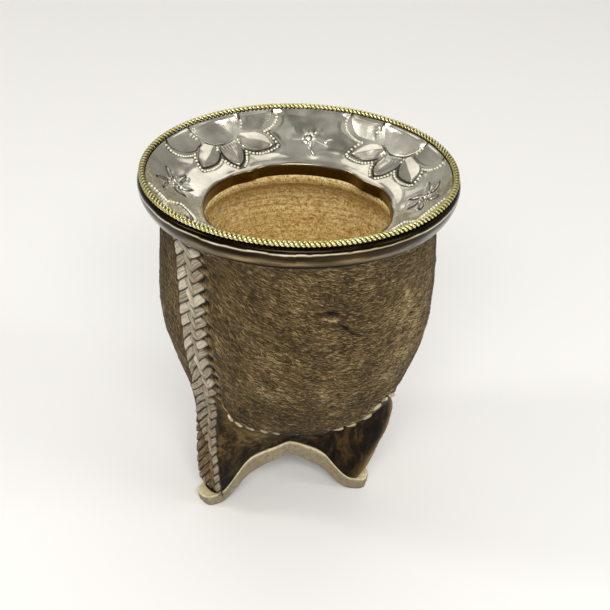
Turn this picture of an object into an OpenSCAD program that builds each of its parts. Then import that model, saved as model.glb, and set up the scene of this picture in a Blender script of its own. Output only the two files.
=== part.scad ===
// Mate cup: a gourd in a hide cover, on a three-footed hide base with a
// thick leather sole, with a chiselled metal collar, a twisted brass wire
// round the rim and a plaited lace down one side.
// Millimetres.  Z is up, the ground is z = 0, the Z axis is the axis of the
// collar.  The front of the cup faces -Y, the plait is at the left of the
// front, the right leg is towards +X.

/* [Collar] */
// Radius of the centre line of the brass wire on the rim
rope_r = 47.5; // [45:0.5:50]
// Height of the centre line of the brass wire
rope_z = 112; // [105:0.5:120]
// Thickness of the twisted brass wire
rope_d = 2.1; // [1.5:0.1:3]
// Radius of the mouth, inside the metal neck
mouth_r = 29.1; // [26:0.1:31]
// Thickness of the collar sheet
sheet_t = 0.8; // [0.5:0.1:1.2]

/* [Body] */
// Thickness of the hide that covers the gourd
hide_t = 1.75; // [1.2:0.05:2.5]
// Thickness of the gourd wall, cover not counted
gourd_t = 5; // [3:0.5:7]

/* [Base] */
// Thickness of the leather sole
sole_t = 4.2; // [3:0.1:6]
// Height of the underside of the sole in the middle of its vault
vault_h = 15.1; // [12:0.1:16]
// Thickness of the hide of the base
skirt_t = 1.8; // [1.2:0.1:2.5]
// Width of the sole left free outside the hide
ledge_w = 0.6; // [0.4:0.1:3]

/* [Plait and stitches] */
// Width of the plaited lace
braid_w = 11.8; // [9:0.1:13]
// Thickness of the plaited lace
braid_t = 1.9; // [1.2:0.1:2.6]
// Length of one turn of the plait, along it
braid_pitch = 3.86; // [3:0.02:6]
// Thickness of the stitching thread
thread_d = 1.0; // [0.7:0.1:1.4]

/* [Hidden] */
gap = 0.05;
base_c = [-4.7, -4.3];          // middle of the sole
leg_az = [-52, 76.5, -168];     // directions of the feet, 0 = -Y, + = to +X
leg_r = [30.9, 31.0, 32.0];     // reach of the feet
n_az = 120;                     // steps round the base

// ---- small helpers ---------------------------------------------------
function mix(a, b, t) = a + (b - a) * t;
function sstep(t) = let (u = min(1, max(0, t))) u * u * (3 - 2 * u);
function adist(a, b) = let (d = a - b) d - 360 * round(d / 360);
function dir2(az) = [sin(az), -cos(az)];
function spline(p, n) =
  [for (i = [0 : len(p) - 2], k = [0 : n - 1])
     let (a = p[max(0, i - 1)], b = p[i], c = p[i + 1],
          d = p[min(len(p) - 1, i + 2)], t = k / n)
     0.5 * (2 * b + (c - a) * t + (2 * a - 5 * b + 4 * c - d) * t * t
            + (3 * b - a - 3 * c + d) * t * t * t),
   p[len(p) - 1]];
// the curve p moved sideways by d (to its left when d is positive)
function shifted(p, d) =
  [for (i = [0 : len(p) - 1])
     let (a = p[max(0, i - 1)], c = p[min(len(p) - 1, i + 1)],
          v = c - a, l = norm(v))
     [max(0, p[i][0] - d * v[1] / l), p[i][1] + d * v[0] / l]];
function back(p) = [for (i = [len(p) - 1 : -1 : 0]) p[i]];

// ---- body of the gourd and its cover -----------------------------------
body_pts = [[0, 19.35], [4, 19.4], [9, 20.4], [13, 22.3], [17, 24.9],
            [21, 27.8], [24.6, 30.5], [28.4, 33.4], [31, 35.4], [33, 37.2],
            [35.3, 40.2], [38.9, 50], [41.8, 60], [43, 70], [43.15, 80],
            [42.8, 90], [42.5, 97], [43.2, 101], [43.9, 103.4]];
body_line = spline(body_pts, 4);
body_tab = [for (p = body_line) [p[1], p[0]]];
function body_r(z) = lookup(z, body_tab);

module hide_cover() {
  color([0.36, 0.30, 0.24])
  rotate_extrude($fn = 180)
    polygon(concat(body_line, back(shifted(body_line, hide_t))));
}

// dish of the collar, from the rim down to the mouth: [radius, height]
dish_top = [[46.35, 111.5], [44.6, 109.5], [41.4, 106.7], [37.4, 103.9],
            [33.4, 101.7], [30.9, 100.5], [29.9, 99.9], [29.3, 99.1],
            [mouth_r, 98.2], [mouth_r, 95.6]];
dish_low = [[45.95, 110.6], [44.0, 108.75], [40.9, 106.0], [36.9, 103.15],
            [33.0, 100.95], [30.9, 99.75], [30.3, 99.3], [30.0, 98.7],
            [mouth_r + sheet_t, 98.2], [mouth_r + sheet_t, 95.6]];
dish_under = [for (i = [len(dish_low) - 3 : -1 : 0]) dish_low[i]];
function under_z(r) = lookup(r, dish_under) - gap;

module collar() {
  color([0.72, 0.70, 0.66])
  rotate_extrude($fn = 180) polygon(concat(dish_top, back(dish_low)));
}

band_out = spline([[46.95, 110.95], [48.2, 110.75], [48.85, 110.0],
            [48.95, 109.0], [48.75, 107.6], [48.2, 106.0], [47.5, 104.7],
            [46.7, 103.8], [45.6, 103.2], [44.15, 102.95]], 3);

module collar_band() {
  color([0.66, 0.63, 0.57])
  rotate_extrude($fn = 180)
    polygon(concat(band_out, back(shifted(band_out, -0.7))));
}

module rope_wire() {
  color([0.74, 0.58, 0.26])
  translate([0, 0, rope_z])
  rotate_extrude($fn = 180) translate([rope_r, 0])
    circle(d = rope_d, $fn = 24);
}

// the gourd: closed below, a thick lip inside the neck of the collar
wall_line = spline(body_pts, 2);
shell_out = shifted(wall_line, hide_t + gap);
shell_in = shifted(wall_line, hide_t + gap + gourd_t);
gourd_low = [for (p = shell_out) if (p[1] < 101.6) p];
gourd_rim = [for (r = [40.6, 39, 37, 35, 33, 31.5, 30.5])
               [r, under_z(r) - (r > 40 ? 0.4 : 0)]];
gourd_lip = [[mouth_r + sheet_t + 0.1, 98.6], [mouth_r + sheet_t + 0.1, 95.55],
             [29.2, 95.55], [29.0, 95.1], [29.1, 94.0], [30.0, 92.2],
             [32.3, 90.2], [34.4, 87.4]];
gourd_cavity = back([for (p = shell_in) if (p[1] < 84) p]);

module gourd() {
  color([0.72, 0.55, 0.33])
  rotate_extrude($fn = 180)
    polygon(concat(gourd_low, gourd_rim, gourd_lip, gourd_cavity));
}

// ---- sole ------------------------------------------------------------
// one foot: reach at direction az, blended with the others
function lobe(az, k) =
  let (w = 3.65, p = 1.05, n = 4.5,
       far = pow(pow(leg_r[k], p) - 2 * pow(w, p), 1 / p),
       d = adist(az, leg_az[k]), c = max(0, cos(d)), s = abs(sin(d)))
  pow(abs(d) < 90 ? pow(pow(c / far, n) + pow(s / w, n), -1 / n) : w, p);
function sole_r(az) =
  pow(lobe(az, 0) + lobe(az, 1) + lobe(az, 2), 1 / 1.05);
function vault(d) = vault_h * (1 - sstep((d - 7) / (27.2 - 7)));
// share of the way from one foot to the next
function span_f(az) =
  let (t = az - leg_az[0] - 360 * floor((az - leg_az[0]) / 360),
       a = leg_az[1] - leg_az[0], b = leg_az[2] - leg_az[0] + 360)
  t < a ? t / a : t < b ? (t - a) / (b - a) : (t - b) / (360 - b);
// the edge rises steeply beside each foot and comes to a blunt peak
rise_tab = [[0, 0], [0.05, 0], [0.068, 0.3], [0.1, 1.3], [0.13, 1.4],
            [0.156, 0.9],
            [0.187, 0], [0.233, -0.8], [0.28, -1], [0.327, -1], [0.374, -0.9],
            [0.42, -0.5], [0.467, -0.1], [0.514, 0.4], [0.56, 0.7],
            [0.607, 0.5], [0.654, 0.3], [0.7, 0], [0.747, -0.2],
            [0.778, -0.1], [0.81, 0.2], [0.84, 0.8], [0.87, 1.4], [0.9, 0.8],
            [0.934, 0.2], [0.95, 0], [1, 0]];
function rise(az, d) = lookup(span_f(az), rise_tab)
                       * sstep((d - 6.3) / max(1, sole_r(az) - 6.3));
// the leather keeps its thickness square to its slope
function slope_k(d) =
  let (t = min(1, max(0, (d - 7) / 20.2)), g = vault_h / 20.2 * 6 * t * (1 - t))
  1 + (sqrt(1 + g * g) - 1) * sstep((d - 8.6) / 2.4);
function foot(az, k) = max(0, 1 - abs(adist(az, leg_az[k])) / 14);
function ledge(az) = ledge_w + 2.5 * sstep(foot(az, 0) * 1.2)
                     + 2.2 * sstep(foot(az, 1)) + 2.0 * sstep(foot(az, 2));
// the rim of each foot curls out a little at the top
function flare(az) = 1.15 * sstep(1 - abs(adist(az, leg_az[0])) / 17)
                     + 0.35 * sstep(1 - abs(adist(az, leg_az[1])) / 15)
                     + 0.5 * sstep(1 - abs(adist(az, leg_az[2])) / 15);
function sole_pt(az, d, up) =
  let (v = dir2(az)) [base_c[0] + v[0] * d, base_c[1] + v[1] * d,
                      vault(d) + rise(az, d) + up * slope_k(d)];
// a ring of points at the direction steps, d(az) is given per kind
function ring_d(az, kind) =
  let (r = sole_r(az), l = ledge(az))
  kind == 0 ? 6.3 :
  kind == 1 ? mix(6.3, r - l - skirt_t, 0.35) :
  kind == 2 ? mix(6.3, r - l - skirt_t, 0.7) :
  kind == 3 ? r - l - skirt_t :
  kind == 4 ? r - l :
  kind == 5 ? r - 0.5 : r;
function top_d(az, kind) =
  ring_d(az, kind) + flare(az) * (kind < 3 ? 0 : kind < 5 ? 0.5 : 1);

module shell_of(rings, open_ends) {
  // rings of equal length, joined one to the next; with open_ends the first
  // and the last are closed by a flat face, else the last joins the first
  n = len(rings[0]);
  m = len(rings);
  pts = [for (r = rings) each r];
  sides = [for (i = [0 : (open_ends ? m - 2 : m - 1)], j = [0 : n - 1])
             let (i2 = (i + 1) % m, j2 = (j + 1) % n,
                  a = i * n + j, b = i * n + j2,
                  c = i2 * n + j2, d = i2 * n + j)
             each [[a, b, c], [a, c, d]]];
  caps = open_ends ? [[for (j = [n - 1 : -1 : 0]) j],
                      [for (j = [0 : n - 1]) (m - 1) * n + j]] : [];
  polyhedron(points = pts, faces = concat(sides, caps), convexity = 8);
}

az_steps = [for (j = [0 : n_az - 1]) -180 + 360 * j / n_az];
module sole() {
  color([0.66, 0.60, 0.50])
  shell_of(concat(
    [for (k = [0 : 5]) [for (a = az_steps)
        sole_pt(a, top_d(a, k), sole_t)]],
    [[for (a = az_steps) sole_pt(a, top_d(a, 6), sole_t - 0.5)],
     [for (a = az_steps) sole_pt(a, ring_d(a, 6), 0.4)]],
    [for (k = [5, 4, 2, 1, 0]) [for (a = az_steps)
        sole_pt(a, ring_d(a, k), 0)]]), true);
}

// ---- hide of the base --------------------------------------------------
// height of its sewn edge round the cup
seam_tab = [[-180, 46], [-168, 47], [-150, 44], [-130, 36], [-115, 33.5],
            [-100, 33], [-85, 34], [-68, 40], [-58, 47], [-50, 49.5],
            [-42, 49], [-37, 46.5], [-33.4, 40.2], [-30.5, 37], [-23, 34.8],
            [-18, 32.6], [-11, 29.0], [-4, 26.6], [4, 25.8], [12, 26.8],
            [20, 30.6], [27.4, 34.4], [31.6, 35.7], [37, 36.6], [41, 38.2],
            [44.4, 41.8], [48.5, 44], [52, 44.3], [57, 43.2], [64, 40.4],
            [72, 37.2], [80, 35.4], [92, 34.2], [105, 33.6], [120, 33.5],
            [135, 34.5], [150, 38], [165, 43.5], [180, 46]];
function seam_z(az) = lookup(adist(az, 0), seam_tab);
// how far the sewn edge stands off the cover
function seam_off(az) =
  0.5 + 0.6 * sstep(1 - abs(adist(az, -24)) / 16)
      + 0.6 * sstep(1 - abs(adist(az, 36)) / 18);
function outward(p, r) =
  let (l = norm([p[0], p[1]]), k = max(1, r / l)) [p[0] * k, p[1] * k, p[2]];
// the left leg is nearly flat under the plait: its distance from the axis
flat_az = -50.5;
flat_tab = [[4, 33.6], [7, 34.3], [12, 34.9], [30, 35], [38, 35.2],
            [44, 36.4], [48, 37.4]];
function flat_r(az, z) =
  lookup(z, flat_tab) / cos(min(16, max(-16, adist(az, flat_az))));
// reach of the right leg by height
side_tab = [[4, 26.6], [9.5, 28.5], [16, 30.7], [24.5, 33.3], [30.5, 34.3],
            [34, 34.1], [38, 33.4], [42, 35.5]];
function leg_share(az) =
  max([for (l = [-47, 66, -168]) sstep(1 - abs(adist(az, l)) / 26)]);
function skirt_form(az, v, q, off) =
  let (u = dir2(az), k = leg_share(az),
       bow = sin(180 * pow(v, 0.85)) * (0.6 * k - 0.9 * (1 - k)),
       p = [q[0] + u[0] * bow, q[1] + u[1] * bow],
       a = atan2(p[0], -p[1]), l = norm(p), wa = adist(a, 70),
       w = exp(-pow(wa / (wa > 0 ? 17 : 15), 2))
           * (1 - sstep((v - 0.86) / 0.14)) * sstep(v / 0.06),
       l1 = mix(l, lookup(q[2], side_tab) - off, w), da = adist(a, flat_az),
       wl = (1 - sstep((abs(da) - 8.5) / 5.5))
            * (1 - sstep((v - 0.9) / 0.1)) * sstep(v / 0.05),
       l2 = mix(l1, flat_r(a, q[2]) - off, wl))
  [p[0] * l2 / l, p[1] * l2 / l, q[2]];
function skirt_out(az, v) =
  let (b = sole_pt(az, top_d(az, 4), sole_t + gap),
       z = seam_z(az), t = dir2(az) * (body_r(z) + seam_off(az)),
       q = skirt_form(az, v, mix(b, [t[0], t[1], z], v), 0))
  outward(q, body_r(q[2]) + 0.6);
function skirt_in(az, v) =
  let (b = sole_pt(az, top_d(az, 3), sole_t + gap),
       z = seam_z(az) - 0.1, t = dir2(az) * (body_r(z) - 1.2),
       q = skirt_form(az, v, mix(b, [t[0], t[1], z], v), skirt_t))
  outward(q, body_r(q[2]) + (v > 0.95 ? gap : 0.25));

module base_hide() {
  color([0.20, 0.16, 0.12])
  shell_of(concat(
    [for (v = [1, 0.95, 0.88, 0.78, 0.64, 0.48, 0.32, 0.18, 0.07, 0])
       [for (a = az_steps) skirt_out(a, v)]],
    [for (v = [0, 0.07, 0.18, 0.32, 0.48, 0.64, 0.78, 0.88, 0.95, 0.995])
       [for (a = az_steps) skirt_in(a, v)]]), false);
}

// ---- plaited lace --------------------------------------------------------
// height -> direction of its middle
braid_tab = [[4, -49.5], [14, -50], [22, -51.2], [30, -51.3], [36, -50.8],
             [42, -49.2], [46, -47.7], [50, -46], [54, -45], [60, -44.5],
             [68, -44.7], [76, -45.3], [84, -45.9], [92, -47.2],
             [99, -48.9], [104, -50.2]];
function lace_w(z) =
  braid_w + lookup(z, [[4, 1.2], [14, 1.2], [20, 0.4], [26, -0.2],
                       [34, -0.2], [40, 0.2], [50, 0], [60, 0.1],
                       [68, -0.4], [76, -0.3], [90, 0.1], [98, 0.4]]);
function lace_r(az, z) =
  let (zs = seam_z(az), hide = body_r(z) + gap)
  z > zs + 1.5 ? hide : max(hide + 0.6, flat_r(az, z) + 0.15);
lace_top = 102.2;
lace_low = 5.6;
lace_n = 118;
function bump(u, s) =
  // u from -1 to 1 across, s along: three slanting rows of strands
  let (w = s / braid_pitch * 360,
       row = abs(u) < 0.36 ? cos(w + u * 420)
           : u > 0 ? cos(w - u * 300 + 80) : cos(w + u * 300 + 200))
  0.22 * row * (1 - pow(abs(u), 6));
function lace_pt(u, z, h) =
  let (az0 = lookup(z, braid_tab), r0 = lace_r(az0, z),
       az = az0 + u * lace_w(z) / 2 / r0 * 180 / PI,
       r = lace_r(az, z) + h, v = dir2(az)) [v[0] * r, v[1] * r, z];
lace_u = [-1, -0.8, -0.55, -0.3, 0, 0.3, 0.55, 0.8, 1];
module braided_seam() {
  color([0.68, 0.63, 0.55])
  shell_of([for (i = [0 : lace_n])
     let (z = mix(lace_top, lace_low, i / lace_n), s = lace_top - z)
     concat(
       [for (u = lace_u)
          lace_pt(u, z, braid_t * (abs(u) == 1 ? 0.45 : 0.87) + bump(u, s))],
       [for (k = [len(lace_u) - 1 : -1 : 0]) lace_pt(lace_u[k], z, 0.06)])],
     true);
}

// ---- whip stitches -------------------------------------------------------
// over the sewn edge, each a short rounded piece of thread
module one_stitch(az) {
  z = seam_z(az);
  slope = (seam_z(az + 1.5) - seam_z(az - 1.5))
          / (3 * PI / 180 * (body_r(z) + 1));
  r = body_r(z) + seam_off(az) + thread_d / 2 + 0.75;
  v = dir2(az);
  translate([v[0] * r, v[1] * r, z - 0.3])
  rotate([0, 0, az])
  rotate([0, 66 - atan(slope), 0]) {
    cylinder(d = thread_d, h = 2.2, center = true, $fn = 16);
    for (e = [-1.1, 1.1]) translate([0, 0, e]) sphere(d = thread_d, $fn = 16);
  }
}
module base_stitches() {
  color([0.70, 0.66, 0.56])
  for (k = [0 : 37]) one_stitch(-33 + 8.4 * k);
}

gourd();
hide_cover();
base_hide();
sole();
braided_seam();
base_stitches();
collar();
collar_band();
rope_wire();
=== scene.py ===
import math

import bpy
import numpy as np
from mathutils import Matrix, Vector
from mathutils.bvhtree import BVHTree


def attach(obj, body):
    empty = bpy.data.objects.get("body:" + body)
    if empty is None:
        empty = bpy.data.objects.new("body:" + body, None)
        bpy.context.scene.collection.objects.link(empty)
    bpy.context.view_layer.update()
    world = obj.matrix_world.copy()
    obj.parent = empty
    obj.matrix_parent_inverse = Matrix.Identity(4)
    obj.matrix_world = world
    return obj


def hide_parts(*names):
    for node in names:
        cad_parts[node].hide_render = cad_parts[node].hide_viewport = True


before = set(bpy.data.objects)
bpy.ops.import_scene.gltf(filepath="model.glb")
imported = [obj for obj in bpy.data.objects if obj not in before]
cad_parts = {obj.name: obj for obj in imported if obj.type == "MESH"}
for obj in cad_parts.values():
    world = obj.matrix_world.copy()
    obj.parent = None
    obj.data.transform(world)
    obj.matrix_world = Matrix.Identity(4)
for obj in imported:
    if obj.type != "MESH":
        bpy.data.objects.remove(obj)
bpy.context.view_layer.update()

MM = 0.001
SC = bpy.context.scene


# ----------------------------------------------------------------------------
# camera: at the photograph's viewing angle, in metres
# ----------------------------------------------------------------------------
cam_data = bpy.data.cameras.new("camera")
cam = bpy.data.objects.new("camera", cam_data)
SC.collection.objects.link(cam)
right = Vector((0.99961, 0.00813, 0.02674)).normalized()
look = Vector((0.00709, 0.85155, -0.52423)).normalized()
up = (right.cross(look)).normalized()
right = look.cross(up).normalized()
rot = Matrix((right, up, -look)).transposed()
cam.matrix_world = Matrix.Translation((0.0, -0.360474, 0.285374)) @ rot.to_4x4()
cam_data.sensor_fit = "HORIZONTAL"
cam_data.sensor_width = 36.0
cam_data.lens = 77.56
cam_data.clip_start = 0.01
cam_data.clip_end = 50.0
SC.camera = cam


# ----------------------------------------------------------------------------
# small numeric helpers (millimetres until the mesh is written)
# ----------------------------------------------------------------------------
def spline(p, n):
    p = np.asarray(p, float)
    out = []
    for i in range(len(p) - 1):
        a, b, c, d = p[max(0, i - 1)], p[i], p[i + 1], p[min(len(p) - 1, i + 2)]
        for k in range(n):
            t = k / n
            out.append(0.5 * (2 * b + (c - a) * t + (2 * a - 5 * b + 4 * c - d) * t * t
                              + (3 * b - a - 3 * c + d) * t * t * t))
    out.append(p[-1])
    return np.array(out)


def resample(p, n):
    """n points along the open polyline p, evenly spaced."""
    p = np.asarray(p, float)
    d = np.concatenate([[0], np.cumsum(np.linalg.norm(np.diff(p, axis=0), axis=1))])
    t = np.linspace(0, d[-1], n)
    return np.stack([np.interp(t, d, p[:, k]) for k in range(p.shape[1])], -1)


def shifted(p, d):
    v = np.gradient(p, axis=0)
    v /= np.linalg.norm(v, axis=1)[:, None] + 1e-12
    q = np.stack([p[:, 0] - d * v[:, 1], p[:, 1] + d * v[:, 0]], -1)
    q[:, 0] = np.maximum(q[:, 0], 0)
    return q


def sstep(t):
    t = np.clip(t, 0, 1)
    return t * t * (3 - 2 * t)


def adist(a, b):
    d = np.asarray(a, float) - b
    return d - 360 * np.round(d / 360)


def mix(a, b, t):
    return a + (b - a) * t


def _hash(ix, iy, iz, seed):
    h = (ix.astype(np.int64) * 374761393 + iy.astype(np.int64) * 668265263
         + iz.astype(np.int64) * 2147483647 + seed * 1274126177) & 0xFFFFFFFF
    h = ((h ^ (h >> 13)) * 1274126177) & 0xFFFFFFFF
    h = ((h ^ (h >> 16)) * 2246822519) & 0xFFFFFFFF
    return ((h ^ (h >> 15)) & 0xFFFFFF) / float(0xFFFFFF) * 2 - 1


def noise(x, y, z, seed=0):
    """smooth value noise, about -1 to 1"""
    x, y, z = np.broadcast_arrays(np.asarray(x, float), np.asarray(y, float), np.asarray(z, float))
    ix, iy, iz = np.floor(x), np.floor(y), np.floor(z)
    fx, fy, fz = x - ix, y - iy, z - iz
    fx, fy, fz = [f * f * f * (f * (f * 6 - 15) + 10) for f in (fx, fy, fz)]
    out = 0
    for dx in (0, 1):
        for dy in (0, 1):
            for dz in (0, 1):
                w = (fx if dx else 1 - fx) * (fy if dy else 1 - fy) * (fz if dz else 1 - fz)
                out = out + w * _hash(ix + dx, iy + dy, iz + dz, seed)
    return out


def fbm(x, y, z, octaves=3, seed=0, gain=0.5):
    a, s, tot = 1.0, 0, 0
    for k in range(octaves):
        s = s + a * noise(x * 2 ** k, y * 2 ** k, z * 2 ** k, seed + 17 * k)
        tot += a
        a *= gain
    return s / tot


# ----------------------------------------------------------------------------
# mesh helpers
# ----------------------------------------------------------------------------
def make(name, verts, faces, replaces=(), smooth=True):
    me = bpy.data.meshes.new(name)
    verts = np.asarray(verts, float) * MM
    if isinstance(faces, np.ndarray):
        k = faces.shape[1]
        me.vertices.add(len(verts))
        me.vertices.foreach_set("co", verts.ravel())
        me.loops.add(faces.size)
        me.loops.foreach_set("vertex_index", faces.ravel().astype(np.int32))
        me.polygons.add(len(faces))
        me.polygons.foreach_set("loop_start", (np.arange(len(faces)) * k).astype(np.int32))
        me.update(calc_edges=True)
        me.validate()
    else:
        me.from_pydata([tuple(v) for v in verts], [], [tuple(f) for f in faces])
        me.update()
    if smooth:
        me.polygons.foreach_set("use_smooth", np.ones(len(me.polygons), bool))
    ob = bpy.data.objects.new(name, me)
    SC.collection.objects.link(ob)
    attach(ob, "root")
    if replaces:
        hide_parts(*replaces)
    return ob


def grid_faces(n, m, wrap_n=False, wrap_m=False, base=0):
    """quads of an n by m grid of points, index = i * m + j"""
    i = np.arange(n if wrap_n else n - 1)
    j = np.arange(m if wrap_m else m - 1)
    i, j = np.meshgrid(i, j, indexing="ij")
    i2, j2 = (i + 1) % n, (j + 1) % m
    q = np.stack([i * m + j, i * m + j2, i2 * m + j2, i2 * m + j], -1).reshape(-1, 4)
    return q + base


def attr(ob, name, values):
    a = ob.data.attributes.new(name, "FLOAT", "POINT")
    a.data.foreach_set("value", np.asarray(values, np.float32).ravel())


def loop_uv(ob, name, uv_of_loop):
    lay = ob.data.uv_layers.new(name=name)
    lay.data.foreach_set("uv", np.asarray(uv_of_loop, np.float32).ravel())


def revolve(prof, n, disp=None):
    """profile rings: prof[k] = (radius, z); returns grid [n, len(prof), 3]"""
    az = np.arange(n) * 360.0 / n
    a = np.radians(az)[:, None]
    r = np.broadcast_to(prof[None, :, 0], (n, len(prof))).copy()
    z = np.broadcast_to(prof[None, :, 1], (n, len(prof))).copy()
    if disp is not None:
        r, z = disp(az[:, None], r, z)
    return np.stack([r * np.sin(a), -r * np.cos(a), z], -1)


# ----------------------------------------------------------------------------
# node material helper
# ----------------------------------------------------------------------------
class Mat:
    def __init__(self, name):
        self.m = bpy.data.materials.new(name)
        self.m.use_nodes = True
        self.t = self.m.node_tree
        self.t.nodes.clear()
        self.out = self.t.nodes.new("ShaderNodeOutputMaterial")
        self.b = self.t.nodes.new("ShaderNodeBsdfPrincipled")
        self.t.links.new(self.b.outputs[0], self.out.inputs[0])
        self.x = -300

    def node(self, kind, **props):
        n = self.t.nodes.new(kind)
        n.location = (self.x, 0)
        self.x -= 160
        ins = props.pop("ins", {})
        for k, v in props.items():
            setattr(n, k, v)
        for k, v in ins.items():
            self.put(n.inputs[k], v)
        return n

    def put(self, sock, v):
        if isinstance(v, bpy.types.NodeSocket):
            self.t.links.new(v, sock)
        elif isinstance(v, bpy.types.Node):
            self.t.links.new(v.outputs[0], sock)
        else:
            if isinstance(v, (tuple, list)) and len(v) == 3 and sock.type == "RGBA":
                v = (*v, 1.0)
            sock.default_value = v

    def set(self, name, v):
        self.put(self.b.inputs[name], v)

    def coord(self):
        return self.node("ShaderNodeTexCoord").outputs["Object"]

    def uv(self, name):
        return self.node("ShaderNodeUVMap", uv_map=name).outputs[0]

    def attr(self, name):
        return self.node("ShaderNodeAttribute", attribute_name=name).outputs["Fac"]

    def mapping(self, vec, scale=(1, 1, 1), rot=(0, 0, 0), loc=(0, 0, 0)):
        return self.node("ShaderNodeMapping", ins={"Vector": vec, "Scale": scale, "Rotation": rot, "Location": loc}).outputs[0]

    def noise(self, vec, scale, detail=3.0, rough=0.5, dist=0.0, col=False):
        n = self.node("ShaderNodeTexNoise", ins={"Vector": vec, "Scale": scale, "Detail": detail, "Roughness": rough, "Distortion": dist})
        return n.outputs["Color" if col else "Fac"]

    def voro(self, vec, scale, feature="F1", rand=1.0, out="Distance"):
        n = self.node("ShaderNodeTexVoronoi", feature=feature, ins={"Vector": vec, "Scale": scale, "Randomness": rand})
        return n.outputs[out]

    def math(self, op, a, b=0.0, c=0.0, clamp=False):
        n = self.node("ShaderNodeMath", operation=op, use_clamp=clamp)
        self.put(n.inputs[0], a)
        self.put(n.inputs[1], b)
        self.put(n.inputs[2], c)
        return n.outputs[0]

    def vmath(self, op, a, b=(0, 0, 0)):
        n = self.node("ShaderNodeVectorMath", operation=op)
        self.put(n.inputs[0], a)
        self.put(n.inputs[1], b)
        return n.outputs[0]

    def range(self, v, a, b, c=0.0, d=1.0, smooth=False):
        n = self.node("ShaderNodeMapRange", interpolation_type="SMOOTHSTEP" if smooth else "LINEAR")
        for i, q in enumerate((v, a, b, c, d)):
            self.put(n.inputs[i], q)
        return n.outputs[0]

    def ramp(self, v, stops):
        n = self.node("ShaderNodeValToRGB")
        e = n.color_ramp.elements
        while len(e) > 1:
            e.remove(e[-1])
        e[0].position = stops[0][0]
        e[0].color = (*stops[0][1], 1)
        for p, c in stops[1:]:
            x = e.new(p)
            x.color = (*c, 1)
        self.put(n.inputs[0], v)
        return n.outputs[0]

    def mixc(self, f, a, b, mode="MIX"):
        n = self.node("ShaderNodeMix", data_type="RGBA", blend_type=mode)
        self.put(n.inputs[0], f)
        self.put(n.inputs[6], a)
        self.put(n.inputs[7], b)
        return n.outputs[2]

    def mixf(self, f, a, b):
        n = self.node("ShaderNodeMix", data_type="FLOAT")
        self.put(n.inputs[0], f)
        self.put(n.inputs[2], a)
        self.put(n.inputs[3], b)
        return n.outputs[0]

    def bump(self, height, strength=0.5, dist=0.0002, normal=None):
        n = self.node("ShaderNodeBump", ins={"Height": height, "Strength": strength, "Distance": dist})
        if normal is not None:
            self.put(n.inputs["Normal"], normal)
        return n.outputs[0]


def lin(r, g, b):
    """sRGB 0-255 to linear"""
    return tuple(((c / 255) / 12.92) if c <= 10 else (((c / 255) + 0.055) / 1.055) ** 2.4 for c in (r, g, b))


# ----------------------------------------------------------------------------
# shapes shared by several pieces
# ----------------------------------------------------------------------------
BODY = spline([[0, 19.35], [4, 19.4], [9, 20.4], [13, 22.3], [17, 24.9],
               [21, 27.8], [24.6, 30.5], [28.4, 33.4], [31, 35.4], [33, 37.2],
               [35.3, 40.2], [38.9, 50], [41.8, 60], [43, 70], [43.15, 80],
               [42.8, 90], [42.5, 97], [43.2, 101], [43.9, 103.4]], 8)


def body_r(z):
    return np.interp(z, BODY[:, 1], BODY[:, 0])


BASE_C = (-4.7, -4.3)
LEG_AZ = (-52.0, 76.5, -168.0)
LEG_R = (30.9, 31.0, 32.0)


def lobe(az, k):
    w, p, n = 3.65, 1.05, 4.5
    far = (LEG_R[k] ** p - 2 * w ** p) ** (1 / p)
    d = np.radians(adist(az, LEG_AZ[k]))
    c, s = np.maximum(0, np.cos(d)), np.abs(np.sin(d)) + 1e-9
    v = ((c / far) ** n + (s / w) ** n) ** (-1 / n)
    return np.where(np.abs(d) < np.pi / 2, v, w) ** p


def sole_r(az):
    return (lobe(az, 0) + lobe(az, 1) + lobe(az, 2)) ** (1 / 1.05)


def vault(d):
    return 15.1 * (1 - sstep((d - 7) / 20.2))


def foot(az, k):
    return np.maximum(0, 1 - np.abs(adist(az, LEG_AZ[k])) / 14)


def ledge(az):
    return 2.2 + 1.5 * sstep(foot(az, 0)) + 0.5 * sstep(foot(az, 1)) + 0.5 * sstep(foot(az, 2))


SOLE_T = 4.2


RISE = np.array([[0, 0], [0.05, 0], [0.068, 0.3], [0.1, 1.3], [0.13, 1.4],
                 [0.156, 0.9],
                 [0.187, 0], [0.233, -0.8], [0.28, -1], [0.327, -1], [0.374, -0.9],
                 [0.42, -0.5], [0.467, -0.1], [0.514, 0.4], [0.56, 0.7],
                 [0.607, 0.5], [0.654, 0.3], [0.7, 0], [0.747, -0.2],
                 [0.778, -0.1], [0.81, 0.2], [0.84, 0.8], [0.87, 1.4], [0.9, 0.8],
                 [0.934, 0.2], [0.95, 0], [1, 0]], float)


def span_f(az):
    """share of the way from one foot to the next"""
    t = (az - LEG_AZ[0]) % 360
    a, b = LEG_AZ[1] - LEG_AZ[0], LEG_AZ[2] - LEG_AZ[0] + 360
    return np.where(t < a, t / a, np.where(t < b, (t - a) / (b - a), (t - b) / (360 - b)))


def rise(az, d):
    return np.interp(span_f(az), RISE[:, 0], RISE[:, 1]) * sstep((d - 6.3) / np.maximum(1, sole_r(az) - 6.3))


def slope_k(d):
    """the leather keeps its thickness square to its slope"""
    t = np.clip((d - 7) / 20.2, 0, 1)
    g = 15.1 / 20.2 * 6 * t * (1 - t)
    return 1 + (np.sqrt(1 + g * g) - 1) * sstep((d - 8.6) / 2.4)


def sole_pt(az, d, up):
    a = np.radians(az)
    z = vault(d) + rise(az, d) + up * slope_k(d)
    return np.stack([BASE_C[0] + np.sin(a) * d, BASE_C[1] - np.cos(a) * d, z + 0 * a], -1)


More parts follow.
